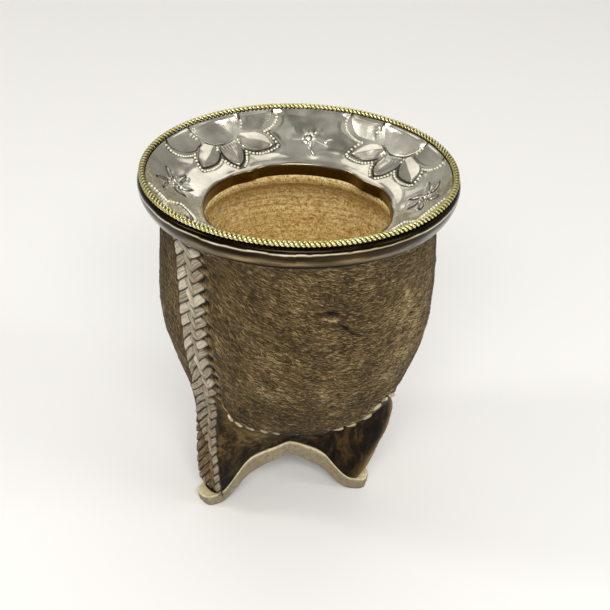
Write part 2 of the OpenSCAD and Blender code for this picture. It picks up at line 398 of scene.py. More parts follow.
SEAM = np.array([[-180, 46], [-168, 47], [-150, 44], [-130, 36], [-115, 33.5],
                 [-100, 33], [-85, 34], [-68, 40], [-58, 47], [-50, 49.5],
                 [-42, 49], [-37, 46.5], [-33.4, 40.2], [-30.5, 37], [-23, 34.8],
                 [-18, 32.6], [-11, 29.0], [-4, 26.6], [4, 25.8], [12, 26.8],
                 [20, 30.6], [27.4, 34.4], [31.6, 35.7], [37, 36.6], [41, 38.2],
                 [44.4, 41.8], [48.5, 44.0], [52, 44.3], [57, 43.2], [64, 40.4],
                 [72, 37.2], [80, 35.4], [92, 34.2], [105, 33.6], [120, 33.5],
                 [135, 34.5], [150, 38], [165, 43.5], [180, 46]], float)


def smooth_periodic(x, y, q, w):
    """periodic table read with a little smoothing"""
    out = 0
    for k, g in ((-1.0, 0.25), (0.0, 0.5), (1.0, 0.25)):
        out = out + g * np.interp(adist(q + k * w, 0), x, y)
    return out


def seam_z(az):
    return smooth_periodic(SEAM[:, 0], SEAM[:, 1], az, 1.5)


def seam_off(az):
    return (0.5 + 0.6 * sstep(1 - np.abs(adist(az, -24)) / 16)
            + 0.6 * sstep(1 - np.abs(adist(az, 36)) / 18))


# direction of the middle of the plait at each height
BRAID = np.array([[4, -49.5], [14, -50], [22, -51.2], [30, -51.3], [36, -50.8],
                  [42, -49.2], [46, -47.7], [50, -46], [54, -45], [60, -44.5],
                  [68, -44.7], [76, -45.3], [84, -45.9], [92, -47.2], [99, -48.9],
                  [104, -50.2]], float)
_bs = spline(BRAID, 10)


def braid_az(z):
    return np.interp(z, _bs[:, 0], _bs[:, 1])


PITCH = 3.86
BRAID_TOP = 102.0


def bw(z):
    """width of the plait at each height"""
    return np.interp(z, [4, 14, 20, 26, 34, 40, 50, 60, 68, 76, 90, 98], [13.0, 13.0, 12.2, 11.6, 11.6, 12.0, 11.8, 11.9, 11.4, 11.5, 11.9, 12.2])


# ----------------------------------------------------------------------------
# materials
# ----------------------------------------------------------------------------
def mat_silver():
    m = Mat("silver_chased")
    c = m.coord()
    cloud = m.noise(c, 90.0, 3.0, 0.55)
    fine = m.noise(c, 900.0, 2.0, 0.6)
    dark = m.attr("groove")
    base = m.mixc(m.range(cloud, 0.35, 0.7), (0.53, 0.50, 0.415), (0.82, 0.795, 0.71))
    # warm: painted reflection of the brown gourd, on the lip, the neck and the dish near the mouth
    base = m.mixc(m.attr("warm"), base, (0.195, 0.138, 0.050))
    base = m.mixc(dark, base, (0.022, 0.018, 0.012))
    m.set("Base Color", base)
    m.set("Metallic", 1.0)
    r = m.range(cloud, 0.3, 0.75, 0.10, 0.19)
    r = m.math("ADD", r, m.math("MULTIPLY", dark, 0.35))
    m.set("Roughness", r)
    # faint brush lines round the mouth, stretched noise in the collar's own rings
    uv = m.uv("ring")
    brush = m.noise(m.mapping(uv, (1.2, 60.0, 1.0)), 18.0, 2.0, 0.6)
    h = m.math("ADD", m.math("MULTIPLY", brush, 0.35), m.math("MULTIPLY", fine, 0.25))
    m.set("Normal", m.bump(h, 0.14, 0.00008))
    return m.m


def mat_beads():
    m = Mat("silver_beads")
    c = m.coord()
    cloud = m.noise(c, 420.0, 3.0, 0.55)
    # paler, yellower base colour than the dish: painted brightness, so the beads read as lit
    m.set("Base Color", m.mixc(m.range(cloud, 0.35, 0.68), (0.74, 0.71, 0.56), (0.97, 0.95, 0.82)))
    m.set("Metallic", 0.6)
    m.set("Roughness", m.range(cloud, 0.3, 0.7, 0.26, 0.38))
    m.set("Normal", m.bump(cloud, 0.2, 0.00008))
    return m.m


def mat_band():
    m = Mat("silver_band")
    c = m.coord()
    uv = m.uv("ring")
    cloud = m.noise(c, 60.0, 3.0, 0.55)
    fine = m.noise(c, 700.0, 2.0, 0.6)
    # low: painted light and shade round the band, 0 a painted highlight, towards 1 painted reflections of the hide and
    # table and painted shade
    low = m.attr("low")          # 0 bright metal, towards 1 darker and browner
    base = m.mixc(m.range(cloud, 0.35, 0.7), (0.62, 0.60, 0.55), (0.80, 0.78, 0.73))
    # long streaks round the band that make the painted reflections uneven
    st = m.noise(m.mapping(uv, (1.6, 30.0, 1.0)), 5.0, 3.0, 0.6, 0.5)
    lv = m.math("ADD", low, m.math("MULTIPLY", m.math("SUBTRACT", st, 0.5), 0.55))
    tone = m.ramp(lv, [(0.18, (0.58, 0.53, 0.42)), (0.36, (0.33, 0.25, 0.12)), (0.54, (0.130, 0.092, 0.040)), (0.74, (0.040, 0.029, 0.015)), (0.92, (0.014, 0.010, 0.005))])
    base = m.mixc(m.range(low, 0.03, 0.16, 0.0, 1.0), base, tone)
    m.set("Base Color", base)
    m.set("Metallic", 1.0)
    m.set("Roughness", m.range(cloud, 0.3, 0.75, 0.13, 0.24))
    brush = m.noise(m.mapping(uv, (1.0, 50.0, 1.0)), 14.0, 2.0, 0.6)
    h = m.math("ADD", m.math("MULTIPLY", brush, 0.4), m.math("MULTIPLY", fine, 0.25))
    m.set("Normal", m.bump(h, 0.25, 0.00008))
    return m.m


def mat_brass():
    m = Mat("brass_wire")
    c = m.coord()
    cloud = m.noise(c, 160.0, 3.0, 0.6)
    # groove: painted shade on the flanks of the strands, in the grooves between them
    groove = m.attr("groove")
    base = m.mixc(m.range(cloud, 0.35, 0.7), (0.74, 0.66, 0.25), (0.96, 0.91, 0.50))
    base = m.mixc(groove, base, (0.095, 0.074, 0.022))
    m.set("Base Color", base)
    m.set("Metallic", 1.0)
    m.set("Roughness", m.math("ADD", m.range(cloud, 0.3, 0.75, 0.17, 0.27), m.math("MULTIPLY", groove, 0.3)))
    m.set("Normal", m.bump(m.noise(c, 1500.0, 2.0, 0.6), 0.12, 0.00005))
    return m.m


def mat_gourd():
    m = Mat("gourd_shell")
    c = m.coord()
    # fibres that wander across faint turning lines
    uv = m.uv("wall")
    w = m.noise(c, 160.0, 2.0, 0.5, col=True)
    wv = m.vmath("SUBTRACT", w, (0.5, 0.5, 0.5))
    wv = m.node("ShaderNodeVectorMath", operation="SCALE", ins={0: wv, "Scale": 0.035}).outputs[0]
    uvw = m.vmath("ADD", uv, wv)
    fib = m.noise(m.mapping(uvw, (60.0, 90.0, 1.0)), 1.0, 5.0, 0.65, 0.9)
    fib2 = m.noise(m.mapping(uvw, (95.0, 42.0, 1.0), (0, 0, 0.35)), 1.0, 4.0, 0.7, 1.6)
    rings = m.noise(m.mapping(uv, (1.2, 130.0, 1.0)), 1.0, 3.0, 0.5)
    blot = m.noise(c, 55.0, 4.0, 0.6)
    height = m.node("ShaderNodeSeparateXYZ", ins={"Vector": c}).outputs[2]
    up_ = m.range(height, 0.050, 0.094, 0.0, 1.0, True)
    pits = m.noise(m.mapping(uvw, (150.0, 210.0, 1.0), (0, 0, 0.5)), 1.0, 2.0, 0.6, 1.2)
    top = m.ramp(fib, [(0.40, lin(202, 162, 92)), (0.5, lin(252, 226, 156)), (0.61, lin(255, 249, 202))])
    bot = m.ramp(fib, [(0.38, lin(152, 108, 38)), (0.5, lin(200, 157, 66)), (0.61, lin(234, 196, 98))])
    col = m.mixc(up_, bot, top)
    col = m.mixc(m.range(fib2, 0.54, 0.62, 0.0, 0.62), col, lin(158, 116, 52))
    col = m.mixc(m.range(rings, 0.56, 0.66, 0.0, 0.40), col, lin(250, 234, 170))
    col = m.mixc(m.range(rings, 0.44, 0.35, 0.0, 0.35), col, lin(170, 128, 62))
    col = m.mixc(m.range(pits, 0.575, 0.635, 0.0, 0.90), col, lin(104, 68, 26))
    col = m.mixc(m.range(blot, 0.5, 0.75, 0.0, 0.4), col, lin(196, 156, 82))
    m.set("Base Color", col)
    m.set("Roughness", m.range(fib, 0.3, 0.7, 0.72, 0.5))
    h = m.math("ADD", m.math("MULTIPLY", fib, 0.7), m.math("MULTIPLY", fib2, -0.6))
    h = m.math("ADD", h, m.math("MULTIPLY", rings, 0.4))
    m.set("Normal", m.bump(h, 0.7, 0.0006))
    m.set("Specular IOR Level", 0.35)
    return m.m


def mat_hide():
    m = Mat("short_haired_hide")
    c = m.coord()
    uv = m.uv("flow")
    warp = m.noise(c, 90.0, 3.0, 0.55, col=True)
    wv = m.vmath("SUBTRACT", warp, (0.5, 0.5, 0.5))
    wv = m.node("ShaderNodeVectorMath", operation="SCALE", ins={0: wv, "Scale": 0.030}).outputs[0]
    uvw = m.vmath("ADD", uv, wv)
    h1 = m.noise(m.mapping(uvw, (42.0, 190.0, 1.0)), 1.0, 3.0, 0.65, 0.3)
    h2 = m.noise(m.mapping(uvw, (70.0, 300.0, 1.0), (0, 0, 0.25)), 1.0, 2.0, 0.6, 0.2)
    tuft = m.noise(m.mapping(uvw, (16.0, 52.0, 1.0)), 1.0, 3.0, 0.6, 0.4)
    blot = m.noise(c, 38.0, 4.0, 0.55)
    hair = m.math("MULTIPLY", m.math("ADD", h1, h2), 0.5)
    col = m.ramp(hair, [(0.40, lin(28, 19, 9)), (0.47, lin(66, 50, 27)), (0.53, lin(101, 81, 49)), (0.61, lin(158, 136, 93))])
    light = m.attr("light")          # paler, greyer towards the right
    grey = m.ramp(hair, [(0.40, lin(46, 35, 20)), (0.47, lin(92, 75, 47)), (0.53, lin(127, 107, 71)), (0.61, lin(180, 159, 115))])
    col = m.mixc(light, col, grey)
    col = m.mixc(m.range(tuft, 0.50, 0.66, 0.0, 0.55), col, lin(45, 32, 16))
    col = m.mixc(m.range(tuft, 0.50, 0.34, 0.0, 0.30), col, lin(120, 99, 65))
    col = m.mixc(m.range(blot, 0.52, 0.72, 0.0, 0.40), col, lin(53, 38, 19))
    dark = m.attr("dark")
    col = m.mixc(dark, col, lin(12, 9, 5))
    pale = m.attr("pale")
    col = m.mixc(pale, col, lin(196, 174, 128))
    m.set("Base Color", col)
    m.set("Roughness", m.range(hair, 0.35, 0.65, 0.72, 0.50))
    h = m.math("ADD", m.math("MULTIPLY", hair, 1.0), m.math("MULTIPLY", tuft, 0.8))
    m.set("Normal", m.bump(h, 0.85, 0.0010))
    m.set("Specular IOR Level", 0.14)
    return m.m


def mat_hair():
    m = Mat("hide_hairs")
    c = m.coord()
    shade = m.attr("shade")
    tip = m.attr("tip")
    light = m.attr("light")
    n_ = m.noise(c, 420.0, 2.0, 0.5)
    v = m.math("ADD", shade, m.math("MULTIPLY", m.math("SUBTRACT", n_, 0.5), 0.25))
    a_ = m.ramp(v, [(0.05, lin(25, 17, 8)), (0.38, lin(68, 52, 29)), (0.70, lin(104, 84, 52)), (0.97, lin(172, 151, 107))])
    b_ = m.ramp(v, [(0.05, lin(40, 29, 16)), (0.38, lin(94, 76, 48)), (0.70, lin(132, 111, 75)), (0.97, lin(196, 176, 131))])
    col = m.mixc(light, a_, b_)
    col = m.mixc(m.math("MULTIPLY", tip, 0.25), col, lin(134, 113, 74))
    m.set("Base Color", col)
    m.set("Roughness", m.range(n_, 0.3, 0.7, 0.42, 0.6))
    m.set("Specular IOR Level", 0.15)
    return m.m


def mat_base():
    m = Mat("dark_base_hide")
    c = m.coord()
    h1 = m.noise(m.mapping(c, (260.0, 260.0, 70.0)), 1.0, 5.0, 0.65, 0.5)
    blot = m.noise(c, 75.0, 4.0, 0.6, 0.4)
    spots = m.noise(c, 210.0, 3.0, 0.6)
    col = m.ramp(h1, [(0.40, lin(13, 8, 2)), (0.5, lin(35, 24, 8)), (0.60, lin(72, 52, 20))])
    col = m.mixc(m.range(blot, 0.50, 0.64, 0.0, 0.85), col, lin(10, 7, 3))
    lefts = m.attr("left")
    fleck = m.noise(m.mapping(c, (330.0, 330.0, 420.0)), 1.0, 3.0, 0.65, 0.6)
    light = m.math("MULTIPLY", lefts, m.range(fleck, 0.47, 0.62, 0.15, 0.95))
    col = m.mixc(light, col, lin(126, 104, 64))
    col = m.mixc(m.range(spots, 0.56, 0.70, 0.0, 0.6), col, lin(14, 9, 4))
    edge = m.attr("edge")
    col = m.mixc(edge, col, lin(139, 112, 66))
    warm = m.attr("warm")
    col = m.mixc(m.math("MULTIPLY", warm, 0.90), col, lin(142, 112, 68))
    m.set("Base Color", col)
    m.set("Roughness", m.range(h1, 0.3, 0.7, 0.66, 0.46))
    h = m.math("ADD", h1, m.math("MULTIPLY", spots, 0.5))
    m.set("Normal", m.bump(h, 0.70, 0.0006))
    m.set("Specular IOR Level", 0.09)
    return m.m


def mat_sole():
    m = Mat("sole_leather")
    c = m.coord()
    big = m.noise(c, 60.0, 4.0, 0.6)
    fine = m.noise(c, 700.0, 4.0, 0.7)
    lay = m.noise(m.mapping(c, (60.0, 60.0, 800.0)), 1.0, 3.0, 0.6)
    face = m.ramp(fine, [(0.3, lin(116, 104, 82)), (0.5, lin(140, 128, 104)), (0.7, lin(160, 148, 125))])
    face = m.mixc(m.range(big, 0.42, 0.66, 0.0, 0.6), face, lin(124, 111, 86))
    face = m.mixc(m.range(lay, 0.54, 0.70, 0.0, 0.22), face, lin(112, 100, 76))
    # the top attribute: the pale top of the feet, and a painted highlight along the rounded top edge of the sole
    top = m.attr("pale_top_and_highlight")
    pale_top_and_highlight = m.mixc(m.range(fine, 0.35, 0.65), lin(198, 182, 142), lin(232, 221, 186))
    col = m.mixc(top, face, pale_top_and_highlight)
    # under: darker underside, and painted shade on the ledge between the feet
    under = m.attr("under")
    col = m.mixc(m.math("MULTIPLY", under, 0.8), col, lin(96, 80, 58))
    m.set("Base Color", col)
    m.set("Roughness", m.range(fine, 0.3, 0.7, 0.62, 0.82))
    h = m.math("ADD", m.math("MULTIPLY", fine, 0.6), m.math("MULTIPLY", lay, 0.4))
    m.set("Normal", m.bump(h, 0.32, 0.0002))
    m.set("Specular IOR Level", 0.3)
    return m.m


def mat_lace():
    m = Mat("plaited_rawhide")
    c = m.coord()
    uv = m.uv("strand")
    fib = m.noise(m.mapping(uv, (2.2, 11.0, 1.0)), 1.0, 4.0, 0.65, 0.3)
    split = m.noise(m.mapping(uv, (1.3, 17.0, 1.0)), 1.0, 2.0, 0.5, 0.2)
    big = m.noise(c, 130.0, 3.0, 0.6)
    fine = m.noise(c, 1100.0, 3.0, 0.6)
    col = m.ramp(fib, [(0.32, lin(116, 103, 80)), (0.5, lin(174, 162, 138)), (0.68, lin(228, 219, 198))])
    col = m.mixc(m.range(split, 0.575, 0.64, 0.0, 0.75), col, lin(82, 68, 48))
    col = m.mixc(m.range(split, 0.42, 0.34, 0.0, 0.55), col, lin(226, 218, 198))
    col = m.mixc(m.range(big, 0.48, 0.70, 0.0, 0.45), col, lin(136, 121, 96))
    col = m.mixc(m.range(fine, 0.58, 0.72, 0.0, 0.4), col, lin(104, 89, 66))
    tint = m.attr("tint")
    col = m.mixc(m.range(tint, 0.0, 1.0, 0.0, 0.45), col, lin(222, 212, 190))
    col = m.mixc(m.range(tint, 0.5, 0.0, 0.0, 0.40), col, lin(120, 108, 84))
    gap_ = m.attr("gap")
    col = m.mixc(gap_, col, lin(9, 6, 3))
    brown = m.attr("brown")
    bc = m.ramp(fib, [(0.34, lin(38, 25, 8)), (0.5, lin(98, 73, 34)), (0.66, lin(158, 129, 76))])
    bc = m.mixc(gap_, bc, lin(14, 9, 4))
    col = m.mixc(brown, col, bc)
    m.set("Base Color", col)
    m.set("Roughness", m.range(fib, 0.3, 0.7, 0.56, 0.38))
    h = m.math("ADD", fib, m.math("MULTIPLY", fine, 0.3))
    h = m.math("SUBTRACT", h, m.range(split, 0.56, 0.64, 0.0, 0.8))
    m.set("Normal", m.bump(h, 0.6, 0.0004))
    m.set("Specular IOR Level", 0.45)
    return m.m


def mat_thread():
    m = Mat("rawhide_thread")
    c = m.coord()
    n1 = m.noise(c, 600.0, 3.0, 0.6)
    n2 = m.noise(c, 2200.0, 2.0, 0.6)
    m.set("Base Color", m.ramp(n1, [(0.3, lin(138, 122, 92)), (0.55, lin(186, 172, 140)), (0.75, lin(214, 202, 172))]))
    m.set("Roughness", m.range(n1, 0.3, 0.7, 0.65, 0.45))
    m.set("Normal", m.bump(m.math("ADD", n1, n2), 0.4, 0.0002))
    return m.m


def give(ob, mat):
    ob.data.materials.clear()
    ob.data.materials.append(mat)


# ----------------------------------------------------------------------------
# collar: dish with chiselled flowers, lip and neck, one sheet
# ----------------------------------------------------------------------------
DISH = np.array([[46.35, 111.5], [44.6, 109.5], [41.4, 106.7], [37.4, 103.9],
                 [33.4, 101.7], [30.9, 100.5], [29.9, 99.9]], float)
FLOWER_BIG = (-39.0, 48.7, 138.0, -131.0)      # from the back (+Y), + to the right
FLOWER_SMALL = (4.0, 93.0, 184.0, -86.0)


def rounded(points, n=8, open_ends=()):
    """closed outline through a few given points; points listed in open_ends stay sharp"""
    p = np.asarray(points, float)
    q = []
    m = len(p)
    for i in range(m):
        a, b, c, d = p[i - 1], p[i], p[(i + 1) % m], p[(i + 2) % m]
        if i in open_ends:
            a = b
        if (i + 1) % m in open_ends:
            d = c
        for k in range(n):
            t = k / n
            q.append(0.5 * (2 * b + (c - a) * t + (2 * a - 5 * b + 4 * c - d) * t * t
                            + (3 * b - a - 3 * c + d) * t ** 3))
    return np.array(q)


def poly_sdf(x, y, poly):
    """signed distance to a closed polygon, negative inside"""
    best = np.full(x.shape, 1e9)
    inside = np.zeros(x.shape, bool)
    n = len(poly)
    for i in range(n):
        ax, ay = poly[i]
        bx, by = poly[(i + 1) % n]
        ex, ey = bx - ax, by - ay
        wx, wy = x - ax, y - ay
        t = np.clip((wx * ex + wy * ey) / (ex * ex + ey * ey + 1e-12), 0, 1)
        dx, dy = wx - ex * t, wy - ey * t
        best = np.minimum(best, dx * dx + dy * dy)
        cond = ((ay <= y) & (by > y)) | ((by <= y) & (ay > y))
        if cond.any():
            xi = ax + (y - ay) / (by - ay + 1e-12) * ex
            inside ^= cond & (x < xi)
    return np.where(inside, -1, 1) * np.sqrt(best)


# petals of the big half rosette in its own plane: x = mm along the rim,
# y = mm inwards from the rim (0) towards the mouth (about 20). Bottom to top.
PETALS = [
    # left leaf, right leaf, middle leaf: (outline, sharp corners, ridge from, ridge to)
    (rounded([(-5.2, 6.0), (-9.6, 7.6), (-12.7, 10.3), (-14.0, 14.4), (-10.8, 15.3), (-7.2, 15.2), (-4.3, 13.6), (-2.9, 11.0), (-3.0, 7.6)], open_ends=(3,)), (-4.6, 9.4), (-14.0, 14.4)),
    (rounded([(5.4, 10.6), (6.2, 6.8), (10.3, 6.3), (14.0, 7.2), (16.4, 9.3), (17.5, 12.9), (14.4, 14.2), (11.2, 14.8), (8.3, 14.2), (6.2, 12.4)], open_ends=(5,)), (6.0, 9.0), (17.5, 12.9)),
    (rounded([(2.4, 7.4), (-1.9, 9.6), (-2.8, 13.0), (-2.0, 16.6), (0.8, 19.4), (3.2, 17.6), (5.0, 14.7), (5.9, 12.0), (5.4, 8.8)], open_ends=(4,)), (2.4, 8.4), (0.8, 19.4)),
    # first row: left, right, middle
    (rounded([(-21.9, -4.0), (-21.7, 1.9), (-19.8, 5.0), (-16.6, 7.1), (-13.0, 8.1), (-10.2, 7.8), (-7.0, 6.0), (-6.0, -4.0)], open_ends=(0, 7)), None, None),
    (rounded([(22.0, -4.0), (21.7, 1.6), (19.8, 4.3), (16.8, 6.2), (13.5, 7.0), (10.3, 6.9), (7.5, 5.4), (6.5, -4.0)], open_ends=(0, 7)), None, None),
    (rounded([(-10.2, -4.0), (-9.8, 1.4), (-8.4, 4.4), (-6.6, 6.8), (-4.0, 8.7), (-0.8, 9.6), (2.2, 9.4), (5.1, 8.2), (7.5, 6.3), (9.1, 4.1), (9.9, 1.2), (10.2, -4.0)], open_ends=(0, 11)), None, None),
]


def bead_points():
    """centres of the punched beads: one row along the outside of the whole flower,
    and short rows where petals meet"""
    pts = []
    for p, _, _ in PETALS:
        seg = np.concatenate([p, p[:1]])
        d = np.concatenate([[0], np.cumsum(np.linalg.norm(np.diff(seg, axis=0), axis=1))])
        n = int(d[-1] / 0.25)
        t = np.linspace(0, d[-1], n, endpoint=False)
        q = np.stack([np.interp(t, d, seg[:, k]) for k in (0, 1)], -1)
        q2 = np.stack([np.interp((t + 0.3) % d[-1], d, seg[:, k]) for k in (0, 1)], -1)
        tn = q2 - q
        tn /= np.linalg.norm(tn, axis=1)[:, None] + 1e-9
        for sgn in (1, -1):
            pts.append(q + np.stack([-tn[:, 1], tn[:, 0]], -1) * sgn * 0.98)
    pts = np.concatenate(pts)
    d = np.min([poly_sdf(pts[:, 0], pts[:, 1], p) for p, _, _ in PETALS], axis=0)
    pts = pts[(d > 0.86) & (pts[:, 1] > 1.4) & (pts[:, 1] < 19.7)]
    keep = []
    for q in pts:
        if all((q[0] - k[0]) ** 2 + (q[1] - k[1]) ** 2 > 1.07 ** 2 for k in keep):
            keep.append(q)
    # between the middle petal and the right one, and over the middle leaf
    keep += [np.array(v) for v in ((9.7, 2.7), (9.5, 3.8), (8.9, 4.9), (-3.0, 9.9), (-3.6, 10.8), (5.9, 9.0), (5.7, 10.1), (-10.3, 2.6), (-9.7, 3.7), (-9.1, 4.7))]
    return np.array(keep)


BEADS = bead_points()

# length along the dish from the rim, as a table
_dsp = spline(DISH, 8)
_dlen = np.concatenate([[0], np.cumsum(np.linalg.norm(np.diff(_dsp, axis=0), axis=1))])


def flower_x(d, s_mm):
    return np.radians(d) * (46.35 - 0.62 * s_mm)


def dish_relief(az_back, s_mm):
    """height and darkness of the chiselling; az_back in degrees, s_mm from the rim"""
    h = np.zeros(s_mm.shape)
    g = np.zeros(s_mm.shape)
    for k, c in enumerate(FLOWER_BIG):
        x = flower_x(adist(az_back, c), s_mm)
        near = (np.abs(x) < 26)
        xs, ys = x[near], s_mm[near]
        # hand work: the outline wanders a little from flower to flower
        xs = xs + 0.30 * noise(xs / 4, ys / 4, xs * 0 + k * 7.3, 11)
        ys = ys + 0.25 * noise(xs / 4, ys / 4, xs * 0 + k * 7.3, 12)
        hh = np.zeros(xs.shape)
        gg = np.zeros(xs.shape)
        union = np.full(xs.shape, 1e9)
        # ground pressed down round the flower
        for p, a_, b_ in PETALS:
            union = np.minimum(union, poly_sdf(xs, ys, p))
        hh = hh - 0.16 * (1 - sstep((union - 1.5) / 2.2))
        mat = (1 - sstep((union - 1.55) / 0.25)) * sstep((union - 0.15) / 0.2) * (ys > 0.9)
        grain = 0.5 + 0.5 * noise(xs / 0.42, ys / 0.42, xs * 0 + k, 13)
        gg = np.maximum(gg, mat * (0.62 + 0.33 * grain))
        for i, (p, a_, b_) in enumerate(PETALS):
            dd = poly_sdf(xs, ys, p)
            ins = dd < 0
            inn = np.clip(-dd, 0, None)
            big, soft_ = (0.44, 2.3) if i > 2 else (0.44, 1.6)
            dome = big * (1 - np.exp(-(inn / soft_) ** 1.3)) - 0.16 + 0.02 * inn
            if a_ is not None:
                a0, b0 = np.array(a_), np.array(b_)
                e_ = (b0 - a0) / np.linalg.norm(b0 - a0)
                off = np.abs((xs - a0[0]) * e_[1] - (ys - a0[1]) * e_[0])
                dome = dome + 0.42 * np.clip(1 - off / 3.0, 0, 1) * sstep(inn / 1.0) - 0.06
            line = np.exp(-(dd / 0.36) ** 4)
            hh = np.where(ins, dome, hh)
            gg = np.where(ins, 0, gg)
            hh = hh - 0.13 * line
            gg = np.maximum(gg, np.maximum(line, 0.95 * np.exp(-((dd + 0.22) / 0.40) ** 4)))
        # short strokes at the foot of the middle leaf and of the left petal
        for x0, y0 in ((-1.6, 10.7), (-0.6, 10.6), (0.4, 10.6), (1.4, 10.5), (2.4, 10.3), (3.4, 9.9)):
            st = np.exp(-((xs - x0) / 0.17) ** 2 - ((ys - y0 - 0.4) / 0.75) ** 2)
            hh = hh - 0.2 * st
            gg = np.maximum(gg, 0.6 * st)
        for j in range(5):
            x0, y0 = -11.1 + 0.55 * j, 2.4 + 0.95 * j
            st = np.exp(-(((xs - x0) * 0.6 + (ys - y0) * 0.8) / 0.17) ** 2 - (((xs - x0) * 0.8 - (ys - y0) * 0.6) / 0.8) ** 2)
            hh = hh - 0.2 * st
            gg = np.maximum(gg, 0.5 * st)
        # one deep tuck beside the middle petal of the right-hand flower
        if k == 1:
            tuck = np.exp(-(((xs + 8.0) * 0.72 + (ys - 5.8) * 0.69) / 2.9) ** 4 - (((xs + 8.0) * -0.69 + (ys - 5.8) * 0.72) / 0.80) ** 2)
            hh = hh - 0.55 * tuck
            gg = np.maximum(gg, 0.98 * tuck)
        h[near] = h[near] + hh
        g[near] = np.maximum(g[near], gg)
    for k, c in enumerate(FLOWER_SMALL):
        x = flower_x(adist(az_back, c), s_mm)
        y = s_mm - 10.4
        near = (np.abs(x) < 12)
        xs, ys = x[near], y[near]
        rr = np.hypot(xs, ys)
        hh, gg = h[near], g[near]
        ang = np.degrees(np.arctan2(ys, xs))
        turn = (0, 14, -9, 22)[k]
        force = (1.35, 1.7, 1.4, 1.8)[k]
        h_was, g_was = hh, gg
        cuts = ((180, 5.8, 0.2), (226, 5.2, -5.0), (318, 4.0, 4.0), (4, 6.6, 6.0), (86, 7.6, -6.0))
        soft = np.zeros(xs.shape)
        for c0, l0, bend in cuts:
            dl = adist(ang - bend * (rr / 3.0), c0 + turn)
            across = rr * np.sin(np.radians(np.clip(dl, -90, 90)))
            along = rr * np.cos(np.radians(np.clip(dl, -90, 90)))
            on = sstep((along - 2.0) / 0.5) * (1 - sstep((along - l0 + 0.8) / 0.8))
            cut = np.exp(-(across / 0.20) ** 2) * on
            vee = np.exp(-np.abs(across) / 1.3) * sstep((along - 1.6) / 0.6) * (1 - sstep((along - l0 + 0.3) / 2.0))
            soft = soft - 0.17 * vee
            hh = hh - 0.16 * cut
            gg = np.maximum(gg, 0.92 * cut)
        hh = hh + soft
        if k in (1, 3):
            for c0, l0, wl in ((200, 7.6, 1.35), (236, 7.0, 1.2), (318, 7.4, 1.4), (12, 8.2, 1.3), (62, 6.8, 1.2), (122, 6.4, 1.1)):
                c1 = math.radians(c0 + turn)
                al_ = xs * math.cos(c1) + ys * math.sin(c1)
                ac_ = -xs * math.sin(c1) + ys * math.cos(c1) + 0.05 * al_ ** 2 - 0.4
                t_ = np.clip((al_ - 1.9) / (l0 - 1.9), 0, 1)
                half_ = wl * np.sin(np.pi * t_ ** 0.8)
                inside_ = (t_ > 0) & (t_ < 1)
                rim_ = np.exp(-((np.abs(ac_) - half_) / 0.28) ** 2) * inside_
                hh = hh + 0.24 * np.clip(1 - (ac_ / (half_ + 0.05)) ** 2, 0, 1) * inside_ - 0.15 * rim_ - 0.10 * np.exp(-(ac_ / 0.18) ** 2) * inside_
                gg = np.maximum(gg, 0.85 * rim_)
                gg = np.maximum(gg, 0.60 * np.exp(-(ac_ / 0.20) ** 2) * inside_)
        # bright stabs of the punch near the ends of the cuts
        for px, py, a1, lx, ly in ((3.3, -2.7, -40, 0.95, 0.55), (7.2, 0.7, -28, 1.2, 0.50), (1.3, 2.2, -62, 1.0, 0.60), (0.8, 4.8, 80, 1.5, 0.50), (-1.7, -1.0, 30, 0.5, 0.5)):
            ca, sa = math.cos(math.radians(a1 + turn)), math.sin(math.radians(a1 + turn))
            cx = px * math.cos(math.radians(turn)) - py * math.sin(math.radians(turn))
            cy = px * math.sin(math.radians(turn)) + py * math.cos(math.radians(turn))
            u_ = (xs - cx) * ca + (ys - cy) * sa
            v_ = -(xs - cx) * sa + (ys - cy) * ca
            e_ = (u_ / lx) ** 2 + (v_ / ly) ** 2
            hh = hh + 0.20 * np.exp(-e_ ** 1.5)
            gg = gg * (1 - 0.9 * np.exp(-e_ ** 2))
        ring = np.exp(-((rr - 1.15) / 0.20) ** 2)
        lobes = 0.5 + 0.5 * np.cos(np.radians(ang * 6))
        hh = hh - 0.22 * ring + 0.30 * np.exp(-((rr - 1.75) / 0.38) ** 2) * lobes + 0.24 * np.exp(-(rr / 0.55) ** 4)
        gg = np.maximum(gg, 0.85 * ring)
        h[near] = h_was + force * (hh - h_was)
        g[near] = np.clip(g_was + force * (gg - g_was), 0, 1)
    # a few soft planished lines of the chaser between the flowers
    for c, s0, w_, dpt in ((-64, 12.5, 9, 0.10), (-20, 15.6, 7, 0.08), (24, 14.8, 8, 0.08), (72, 16.2, 9, 0.12)):
        x = flower_x(adist(az_back, c), s_mm)
        y = s_mm - s0 - 0.10 * x - 0.02 * x * x
        e = np.exp(-(x / w_) ** 4)
        h = h - dpt * np.exp(-(y / 0.8) ** 2) * e
        g = np.maximum(g, 0.35 * np.exp(-(y / 0.22) ** 2) * e * (dpt > 0.09))
    return h, g


N_TOP = 78


def dish_point(az, s, h):
    """az in the shared convention (degrees from the front), s from the rim, h along the normal"""
    r = np.interp(s, _dlen, _dsp[:, 0])
    z = np.interp(s, _dlen, _dsp[:, 1])
    r2 = np.interp(s + 0.05, _dlen, _dsp[:, 0]) - np.interp(s - 0.05, _dlen, _dsp[:, 0])
    z2 = np.interp(s + 0.05, _dlen, _dsp[:, 1]) - np.interp(s - 0.05, _dlen, _dsp[:, 1])
    l = np.hypot(r2, z2) + 1e-9
    nr, nz = z2 / l, -r2 / l              # up and towards the axis
    r, z = r + nr * h, z + nz * h
    a = np.radians(az)
    return np.stack([r * np.sin(a), -r * np.cos(a), z], -1), np.stack([nr * np.sin(a), -nr * np.cos(a), nz], -1)


def wobble(x, y):
    return 0.15 * fbm(x / 8.5, y / 8.5, x * 0, 2, 5) + 0.028 * noise(x / 2.6, y / 2.6, x * 0, 9)


